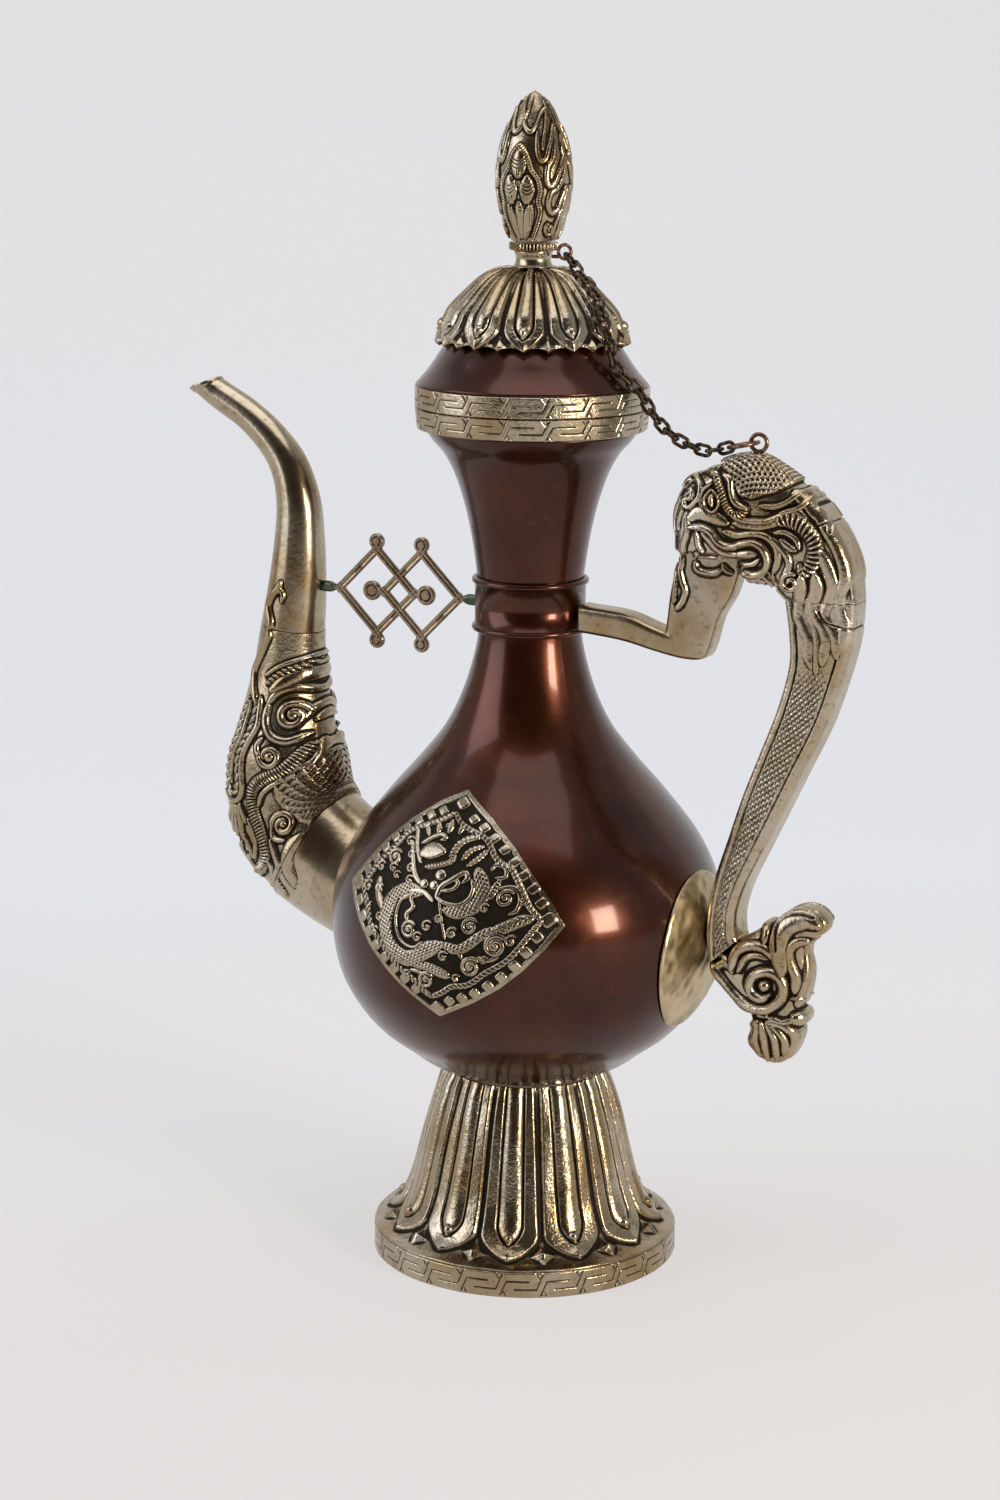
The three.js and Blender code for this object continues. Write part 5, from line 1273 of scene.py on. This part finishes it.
stripe_strokes = [
    ([(-15, top + 0.9), (0, top - 0.7), (15, top + 0.9)], 0.17, -0.3) for top in (377.6, 376.4, 375.2)
] + [
    ([(5, top + 0.9), (15, top - 0.7), (26, top + 0.9)], 0.17, -0.3) for top in (369.4, 368.2, 367)
] + [
    ([(-8, top + 0.9), (0, top - 0.5), (8, top + 0.9)], 0.17, -0.25) for top in (362.3, 361.2)
] + [
    ([(place, top), (place, top - 5)], 0.15, -0.25)
    for place, top in (
        (-5, 374), (0, 374), (5, 374), (10, 366), (15, 366), (20, 366), (18, 360.5), (22, 360),
    )
]


def folded(strokes):
    """Strokes in degrees from a jewel panel's middle become millimetres round the bud."""
    return [([(turn * bud_degree, z) for turn, z in points], *rest) for points, *rest in strokes]


bud_turn = round_turns(bud_around)
fold = np.abs((np.degrees(bud_turn) + 90 + 90) % 180 - 90)
fold_mm = np.broadcast_to((fold * bud_degree)[None, :], (len(bud_line), bud_around))
bud_z = np.broadcast_to(bud_line[:, 1:], fold_mm.shape)
curl = [(spiral((59 * bud_degree, 354.7), 2.4, 1.3, 120, 0.2), 0.65, 1.2)]
bud_strokes = fuller(folded(jewel_strokes) + folded(flame_strokes) + curl, 1.25)
bud_lift = raised(fold_mm, bud_z, bud_strokes + folded(stripe_strokes))
top_fade = smooth_step(bud_top, 396, bud_line[:, 1:])
bud_rise = ((bud_lift * 0.8 - 0.35) * top_fade)[..., None]
bud_out = bud_line[:, None, :] + outward(bud_line)[:, None, :] * bud_rise
bud_points = np.stack([
    np.minimum(bud_out[..., 0], bud_half_width) * np.cos(bud_turn),
    bud_out[..., 0] * np.sin(bud_turn), bud_out[..., 1], bud_lift,
], -1)
bud_points = np.concatenate([bud_points[:1] * (0, 0, 1, 1), bud_points])
bud = surface("flaming_jewels", bud_points)
mark_recesses(bud, 1.1, 0.14, 0.12)
bud = as_object(bud, makara_metal, "lid")
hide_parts("finial_bud")

reeds, reed_columns, reed_depth = 40, 8, 0.5
stem_line = np.array([
    (0, 342), (6.5, 342), (6.3, 342.8), (5.9, 344), (5.8, 345), (6.2, 346.4), (6.4, 347.2),
    (6.3, 347.4), (7.4, 347.6), (8, 347.9), (8.1, 348.8), (8, 349.8), (7.5, 350.2), (0, 350.3),
])
stem_around = reeds * reed_columns
stem_points = spun(smooth_line(stem_line, 90), stem_around)
beyond = smooth_step(7.2, 7.9, np.hypot(stem_points[..., 0], stem_points[..., 1]))
reed = reed_depth * (np.cos(2 * np.pi * np.arange(stem_around) / reed_columns) - 1) * beyond / 8
stem_points[..., :2] *= (1 + reed)[..., None]
stem = surface("reeded_stem", stem_points)
mark_recesses(stem, 0.8, 0.2)
stem = as_object(stem, spout_metal, "lid")
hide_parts("finial_stem")

# A medallion is riveted on both faces of the belly: a sheet embossed with a plain margin, a row
# of square beads, a twisted rope in an ogee, and a dragon with punched skin among cloud curls.

medallion_metal = embossed_metal("blackened_embossed_medallion_brass", 0.9, 0.05, 0.08, "#b6ab96", "#917f64")
medal_rows, medal_around = 330, 640
medal_middle = 137.2
bead_rise = 1.5
# Outline, strokes and beads in millimetres to the right of the medallion's middle and above it
medal_outline = [
    (39.2, -3), (34.1, 4.4), (28.7, 10.5), (20, 19.2), (10, 27.2), (-1.6, 34.6), (-10.2, 30.5),
    (-19.4, 24), (-26.7, 17.3), (-34.1, 8.6), (-39.2, 1.8), (-36.3, -3.4), (-32.2, -8.9), (-26.7, -15.5),
    (-19.8, -21.5), (-13.3, -26.4), (-4.9, -31.8), (0.7, -35.2), (12.7, -29), (21.4, -23.4),
    (28.2, -17.4), (34.4, -10.2),
]
rope_frame = [
    [(-3.1, 33.4), (-0.6, 30.4), (3.5, 28.1), (7.7, 26.5), (11.1, 24.1), (14.4, 19.3), (17.2, 16.9),
     (20.5, 15.4), (23.2, 11.7), (25.9, 7.4), (28.8, 2.6), (32.6, -1.4)],
    [(32.6, -1.4), (28, -8.6), (23.5, -14.3), (17, -18.7), (11.4, -23.1), (5.9, -24.3), (2.2, -26.9),
     (-1.6, -28.8)],
    [(-1.6, -28.8), (-4.4, -26.9), (-7.3, -24.3), (-13.7, -20.5), (-20.8, -14.3), (-25.7, -9.8),
     (-28.6, -4.1), (-32.5, 1.9)],
    [(-32.5, 1.9), (-28, 10.2), (-22.4, 17.7), (-18.2, 24.1), (-11.3, 28.1), (-7, 30.4), (-3.1, 33.4)],
]
dragon_body = [
    ([(10.3, 14.2), (12.6, 9.7), (13.4, 5.7), (11.3, 2), (6.9, 0.2), (2.2, 0.2)], 2.3, 1.5),
    ([(13.5, 5.1), (16.5, 7), (17.8, 11)], 1.5, 1.2),
    ([(-7.6, 4.7), (-13.4, 4.4), (-18.2, 0.8), (-19.9, -4.5), (-19.5, -9.9), (-17.5, -14),
      (-13.5, -16.7), (-8.5, -16.8), (-3, -13.2), (2.2, -10.8)], 2.6, 1.9),
    ([(-14.4, -16.5), (-7.7, -17.9), (-1.4, -19.2), (4.9, -21)], 1.7, 1.3),
    ([(2.8, -10.6), (6.6, -11.8), (10.1, -10.9), (14.7, -7.1), (19.4, -4.4)], 1.6, 1.3),
    ([(17.6, -6.2), (22.8, -3.6), (26.3, -1.7), (29.9, -0.8)], 1.9, 1.2),
]
medal_strokes = [(line, 1, 1.9, 1.6) for line in rope_frame] + [
    ([(-10.1, 4), (-14.7, 0.7), (-15.6, -5.6), (-13, -11.4), (-8.2, -13), (-4.7, -10.7)], 0.5, 1.3),
    # The dragon's head: brow, roped horns, eye, nostrils, lips and whiskers
    ([(-10.2, 17.4), (-6.9, 19), (-3.7, 19.2)], 3.3, 1.8),
    ([(-11.8, 20.7), (-8.6, 23.5), (-5.4, 25.1), (-3.7, 23.9), (-5.1, 22.9)], 0.8, 1.4),
    ([(0, 17.7), (1.6, 22.4), (4.5, 24.9), (8.1, 25.8)], 1.2, 1.6, 1.4),
    ([(4.3, 17.2), (6.1, 20.7), (9.8, 22.5)], 1.0, 1.5, 1.4),
    ([(6.6, 15.2), (9.4, 18.1), (11.5, 21.2)], 1.0, 1.4, 1.4),
    ([(-7.9, 12.9), (-3.1, 14.4), (0.5, 16.2), (1.3, 18.7)], 1.0, 1.7, 1.1),
    knob((-1.9, 11.3), 1.8, 1.4), knob((-1.9, 11.3), 0.8, 2.0), knob((-7.1, 7.6), 1.5, 1.7),
    knob((-3.4, 7.6), 1.5, 1.7),
    ([(-1.6, 3.8), (-0.7, 7.4), (2.3, 10), (6.2, 12.9), (7.7, 11.3), (6.4, 9.5)], 0.9, 1.6),
    ([(-1.6, 3.8), (1.8, 2.4), (6.5, 2.3), (9.6, 4.6), (10.3, 8.2), (9.2, 10.7)], 0.7, 1.7),
    ([(-0.2, 6.1), (3.7, 7.2), (4.9, 9.7), (2.1, 10.4)], 0.7, 1.2),
    ([(-11.3, 4.6), (-6.8, 5), (-2.4, 2.4)], 0.8, 1.9),
    ([(-10.1, 4.6), (-10.8, 2.1), (-9.4, -0.4), (-11.7, -2.9), (-10.8, -5.2)], 0.7, 1.5),
    ([(-0.2, 2.7), (1.8, -3.7), (3.6, -8.9)], 0.5, 1.3),
    # Flames over the head, and ribbons of cloud between body and rope
    ([(-10.4, 24), (-12.3, 27.4)], 1.0, 1.2), ([(-7.2, 25.4), (-7.9, 29)], 1.1, 1.3),
    ([(-3.4, 26), (-3.3, 30.4)], 1.2, 1.4), ([(0.4, 26.2), (0.9, 29.6)], 1.0, 1.2),
    ([(3.8, 27), (5, 28)], 0.8, 1.1),
    ([(-15.7, 26.2), (-13.6, 19.4), (-10.3, 14.1)], 0.8, 1.3),
    ([(-15.9, 20.7), (-12, 11), (-8.6, 7.4)], 0.9, 1.2),
    ([(14.6, 14.4), (15.6, 16.4), (18.8, 15.4), (19.4, 12.4), (16.6, 12)], 0.7, 1.1),
    ([(18.4, 8.6), (22.6, 9.2), (25.2, 6.2), (25, 1.8), (22.8, 0.4)], 0.7, 1.1),
    ([(-22, -3), (-24.6, 1), (-25.4, 6)], 1.5, 1.2),
    ([(-27.6, -2.4), (-29.6, -6)], 0.9, 1.0),
    ([(5.6, -13), (8, -12.6), (9.4, -14.6)], 0.7, 1.0),
    ([(14.6, -13.6), (17.6, -14.6), (20.8, -13.4)], 0.7, 1.0),
    ([(-9, -20.6), (-5.4, -21), (-1.4, -22.8)], 0.7, 1.0),
    ([(-18.4, -14), (-16.4, -19)], 0.7, 1.0),
]
for centre, radius, turns in (
    ((-10.1, -7.8), 2.9, 1.6), ((-30, 2.4), 2.1, 1.3), ((-21, 14), 2.9, 1.6), ((-26, 9.8), 1.9, 1.3),
    ((-24.2, -10.9), 1.9, 1.2), ((21, 5.3), 2.9, 1.5), ((19.9, -9.8), 3.6, 1.8), ((11.3, -4.2), 2.8, 1.5),
    ((12.3, -17.2), 3.3, 1.7), ((-3.3, -23.4), 2.9, 1.5), ((3, -14.6), 1.9, 1.2),
    ((-18.3, 8.4), 1.6, 1.1), ((-13.4, 11.6), 1.8, 1.2), ((-3.4, -5.7), 2, 1.2), ((7.4, -21.4), 1.6, 1.1),
    ((-16.6, 20.4), 1.9, 1.2), ((-10.6, -22.6), 1.8, 1.2), ((15.2, 1.8), 1.7, 1.2),
    ((-24.6, 2.6), 2.0, 1.2), ((-22.6, -6), 1.7, 1.2), ((-6.6, -9.6), 1.8, 1.2), ((5.6, -6.8), 2.0, 1.3),
    ((0.6, -3), 1.6, 1.2), ((-12.8, 7.8), 1.7, 1.2), ((24.4, -8), 2.0, 1.3), ((16.6, -14.6), 1.6, 1.1),
    ((-20.6, 10.4), 1.7, 1.2), ((-4.4, 28.2), 1.1, 1), ((26.2, 4.2), 1.5, 1.1), ((-14.6, 16), 1.6, 1.2),
):
    medal_strokes.append((spiral(centre, radius, turns, 40, 0.2), 0.19 * radius + 0.06, 1.35))
    medal_strokes.append(knob(centre, 0.24 * radius, 1.5))
bead_places = [
    (3.9, 31.9), (8.2, 29.2), (12.5, 25.7), (16.8, 21.8), (21, 17.7), (24.9, 13.3), (28.5, 8.8),
    (31.7, 4.1), (32, -6.6), (29.2, -11.5), (25.9, -16), (21.9, -19.8), (17.7, -23.1), (13.4, -26),
    (9, -28), (4.6, -29.6), (-7.9, 33.4), (-12.1, 31.1), (-16.2, 28.1), (-20, 24.6), (-23.6, 20.5),
    (-26.7, 16.2), (-29.4, 11.7), (-31.9, 7.2), (-32.9, -2.8), (-30.2, -7.2), (-27, -11.4),
    (-23.5, -15.2), (-19.7, -18.5), (-15.7, -21.4), (-11.5, -24.1), (-7.2, -26.9),
]
corner_beads = [(-1.7, 37.2), (34.4, -1.2), (0.2, -32.6), (-35, 2.4)]


def square_bead(x, z, middle_x, middle_z, half):
    """A rounded square with a flat top, set along the lozenge's edge."""
    along = (x - middle_x) * 0.7 - (z - middle_z) * 0.714
    across = (x - middle_x) * 0.714 + (z - middle_z) * 0.7
    return bead_rise * np.clip(1 - (along / half) ** 4 - (across / half) ** 4, 0, 1) ** 0.4


belly_travel = travel_along(belly_outside)
belly_travel -= np.interp(medal_middle, belly_outside[:, 1], belly_travel)


def medallion(name, facing, node):
    """The embossed sheet in rows from its rim to its middle, bent round the belly."""
    edge = np.array(medal_outline + medal_outline[:1])
    travel = travel_along(edge)
    corner_turns = np.linspace(0, travel[-1], medal_around, endpoint=False)
    rim = np.stack([np.interp(corner_turns, travel, edge[:, k]) for k in (0, 1)], 1)
    share = np.linspace(1, 0, medal_rows)[:, None, None]
    flat = rim[None] * share
    x, height = flat[..., 0], medal_middle + flat[..., 1]
    z = np.interp(height, belly_outside[:, 1], belly_travel)
    lift = raised(x, z, fuller(medal_strokes, 1.1))
    # The dragon's skin is punched with dots, drawn a little coarser than on the piece
    punched = 0.8 + 0.2 * np.sin(3.3 * x + 1.7 * z) * np.sin(3.3 * z - 1.7 * x)
    lift = np.maximum(lift, raised(x, z, fuller(dragon_body, 1.1)) * punched) + 0.2
    for places, half in ((bead_places, 1.75), (corner_beads, 2.25)):
        for place in places:
            lift = np.maximum(lift, square_bead(x, z, *place, half))
    margin = smooth_step(0.93, 0.96, np.broadcast_to(share[..., 0], lift.shape)) * 0.9
    lift = np.maximum(lift, margin)
    belly_there = np.interp(height, belly_outside[:, 1], belly_outside[:, 0])
    turn = facing + np.arcsin(np.clip(x / belly_there, -1, 1))
    normal = outward(belly_outside)
    out_r = np.interp(height, belly_outside[:, 1], normal[:, 0])
    out_z = np.interp(height, belly_outside[:, 1], normal[:, 1])
    front = 1.1 + 1.46 * np.tanh(lift / 1.46)
    front[0] = 0.7
    points = np.dstack([
        about_axis(belly_there + out_r * front, turn, height + out_z * front), lift - 0.2,
    ])
    back = np.column_stack([
        about_axis(belly_there[0] + 0.5 * out_r[0], turn[0], height[0] + 0.5 * out_z[0]),
        np.ones(medal_around),
    ])
    mesh = surface(name, np.concatenate([back[None], points]))
    mark_recesses(mesh, 1.1, 0.16, 0.5)
    piece = as_object(mesh, medallion_metal, "vessel")
    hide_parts(node)


medallion("front_dragon_medallion", -math.pi / 2, "medallion_front")
medallion("back_dragon_medallion", math.pi / 2, "medallion_back")

# The handle plate is a disc of brass sheet, hammered to the belly's curve and scratch-brushed.
# The handle's scroll stands on it.

plate_metal, tree = new_material("scratch_brushed_hammered_brass")
# Broad planishing facets catch the light one by one, and tarnish gathers as olive clouds.
place = add_node(tree, "ShaderNodeTexCoord")["Object"]
clouds = add_node(tree, "ShaderNodeTexNoise", inputs={
    "Vector": place, "Scale": 1 / (11 * MM), "Detail": 4,
})["Fac"]
olive = add_node(tree, "ShaderNodeMapRange", inputs={"Value": clouds, "From Min": 0.38, "From Max": 0.66})[0]
colour = add_node(tree, "ShaderNodeMix", {"data_type": "RGBA"}, {
    0: olive, 6: linear("#cdbb97"), 7: linear("#93805a"),
})[2]
facets = add_node(tree, "ShaderNodeTexNoise", inputs={
    "Vector": place, "Scale": 1 / (6 * MM), "Detail": 1,
})["Fac"]
facets = add_node(tree, "ShaderNodeBump", inputs={"Height": facets, "Distance": 0.9 * MM, "Strength": 1})[0]
lengthwise = add_node(tree, "ShaderNodeMapping", inputs={"Vector": place, "Scale": (1, 0.06, 1)})[0]
brushed = add_node(tree, "ShaderNodeTexNoise", inputs={
    "Vector": lengthwise, "Scale": 1 / (0.5 * MM), "Detail": 2,
})["Fac"]
facets = add_node(tree, "ShaderNodeBump", inputs={
    "Height": brushed, "Distance": 0.03 * MM, "Strength": 1, "Normal": facets,
})[0]
plate_skin = add_node(tree, "ShaderNodeBsdfPrincipled", inputs={
    "Base Color": colour, "Metallic": 1.0, "Roughness": 0.34, "Normal": facets,
})
add_node(tree, "ShaderNodeOutputMaterial", inputs={"Surface": plate_skin[0]})
plate_rows, plate_around, plate_radius, plate_height = 60, 160, 26.9, 116
share = np.linspace(1, 0, plate_rows)[:, None]
around = round_turns(plate_around)
across = plate_radius * share * np.cos(around)
height = plate_height + plate_radius * share * np.sin(around)
lift = 1.35 + 0.14 * np.sin(across * 0.9 + 2) * np.sin(height * 0.8)
lift[0] = 0.65
radius = np.interp(height, belly_outside[:, 1], belly_outside[:, 0])
turn = np.arcsin(across / radius)
plate = surface("hammered_plate", about_axis(radius + lift, turn, height))
plate = as_object(plate, plate_metal, "vessel")
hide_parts("handle_plate")

# The chain of cut wire links hangs from an eye on the finial's stem and ends in a big ring that
# goes through the eye on the dragon's crown. Eyes and ring are of bare copper wire.


def wire_metal(name, dark, light, roughness):
    material, tree = new_material(name)
    # Handling has worn the outside of the wire through the dark skin in small patches
    place = add_node(tree, "ShaderNodeTexCoord")["Object"]
    spots, pits = [
        add_node(tree, "ShaderNodeTexNoise", inputs={
            "Vector": place, "Scale": 1 / (size * MM), "Detail": detail,
        })["Fac"]
        for size, detail in ((1.6, 4), (0.7, 2))
    ]
    worn = add_node(tree, "ShaderNodeMapRange", inputs={
        "Value": spots, "From Min": 0.45, "From Max": 0.68,
    })[0]
    colour = add_node(tree, "ShaderNodeMix", {"data_type": "RGBA"}, {
        0: worn, 6: linear(dark), 7: linear(light),
    })[2]
    bump = add_node(tree, "ShaderNodeBump", inputs={"Height": pits, "Distance": 0.05 * MM, "Strength": 1})[0]
    skin = add_node(tree, "ShaderNodeBsdfPrincipled", inputs={
        "Base Color": colour, "Metallic": 1.0, "Roughness": roughness, "Normal": bump,
    })
    add_node(tree, "ShaderNodeOutputMaterial", inputs={"Surface": skin[0]})
    return material


wire_sides = 14


def wire_ring(centre, across, along, half_across, half_along, wire, steps=56):
    """Rows of points round a closed wire whose middle line is a ring or a straight-sided oval."""
    centre, across, along = [np.asarray(v, float) for v in (centre, across, along)]
    turn = 2 * np.pi * (np.arange(steps) + 0.5) / steps
    out = np.cos(turn)[:, None] * across + np.sin(turn)[:, None] * along
    straight = np.sign(np.sin(turn))[:, None] * along * (half_along - half_across)
    middle = centre + out * half_across + straight
    normal = np.cross(across, along)
    side = round_turns(wire_sides)
    return (
        middle[:, None] + wire / 2 * np.cos(side)[None, :, None] * out[:, None]
        + wire / 2 * np.sin(side)[None, :, None] * normal
    )


bronze = wire_metal("dark_bronze_wire", "#3c3228", "#77624a", 0.42)
eye_copper = wire_metal("worn_copper_wire", "#644a3b", "#a88468", 0.34)

link_count, link_wire, link_half_width = 24, 1.25, 1.625
bodies = frame["record"]["behaviour"]["bodies"]
carriers = {node: body for body, nodes in bodies.items() for node in nodes}
for number in range(1, link_count + 1):
    node = f"chain_link_{number:02d}"
    own = frame["nodes"][node]
    corners = np.array([(own.matrix_world @ v.co)[:] for v in own.data.vertices])
    corners = (corners - np.array(vessel_axis)) / MM
    middle = corners.mean(0)
    along, across, _ = np.linalg.svd(corners - middle)[2]
    half_length = np.ptp(corners @ along) / 2 - link_wire / 2
    link = surface(f"wire_link_{number:02d}", wire_ring(
        middle, across, along, link_half_width, half_length, link_wire,
    ), loop=True)
    link = as_object(link, bronze, carriers[node])
    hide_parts(node)

ring_start, ring_end = np.array([71.6, 0, 286.8]), np.array([81.2, 0, 288.8])
ring_half = np.linalg.norm(ring_end - ring_start) / 2
ring_wire = 1.4
big_ring = surface("end_ring_wire", wire_ring(
    (ring_start + ring_end) / 2, (0, 1, 0), (ring_end - ring_start) / (2 * ring_half),
    ring_half, ring_half, ring_wire, 90,
), loop=True)
big_ring = as_object(big_ring, eye_copper, "chain_ring_body")
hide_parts("chain_ring")


def wire_eye(name, centre, radius, wire, root, foot, node, body):
    """An eye of bent wire: a ring whose shank runs down into the piece that it is soldered to."""
    ring = wire_ring(centre, (1, 0, 0), (0, 0, 1), radius, radius, wire)
    root, foot = np.array(root, float), np.array(foot, float)
    along = (foot - root) / np.linalg.norm(foot - root)
    level = np.cross(along, (0, 1, 0))
    side = round_turns(wire_sides)
    section = wire * 0.5 * (np.cos(side)[:, None] * level + np.sin(side)[:, None] * np.array([0, 1, 0]))
    shank = np.stack([root + section, foot + section])
    mesh = gathered(name, [np.concatenate([ring, ring[:1]]), shank])
    piece = as_object(mesh, eye_copper, body)
    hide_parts(node)


wire_eye("finial_eye", (11.4, 0, 347.4), 2.3, 1.2, (6.8, 0, 345.7), (9.8, 0, 345.8), "lid_eye", "lid")
wire_eye(
    "crown_eye", (81.75, 0, 288.8), 2.8, 1.4, (81.75, 0, 285), (81.75, 0, 286.4), "handle_eye", "vessel",
)

bpy.context.view_layer.update()
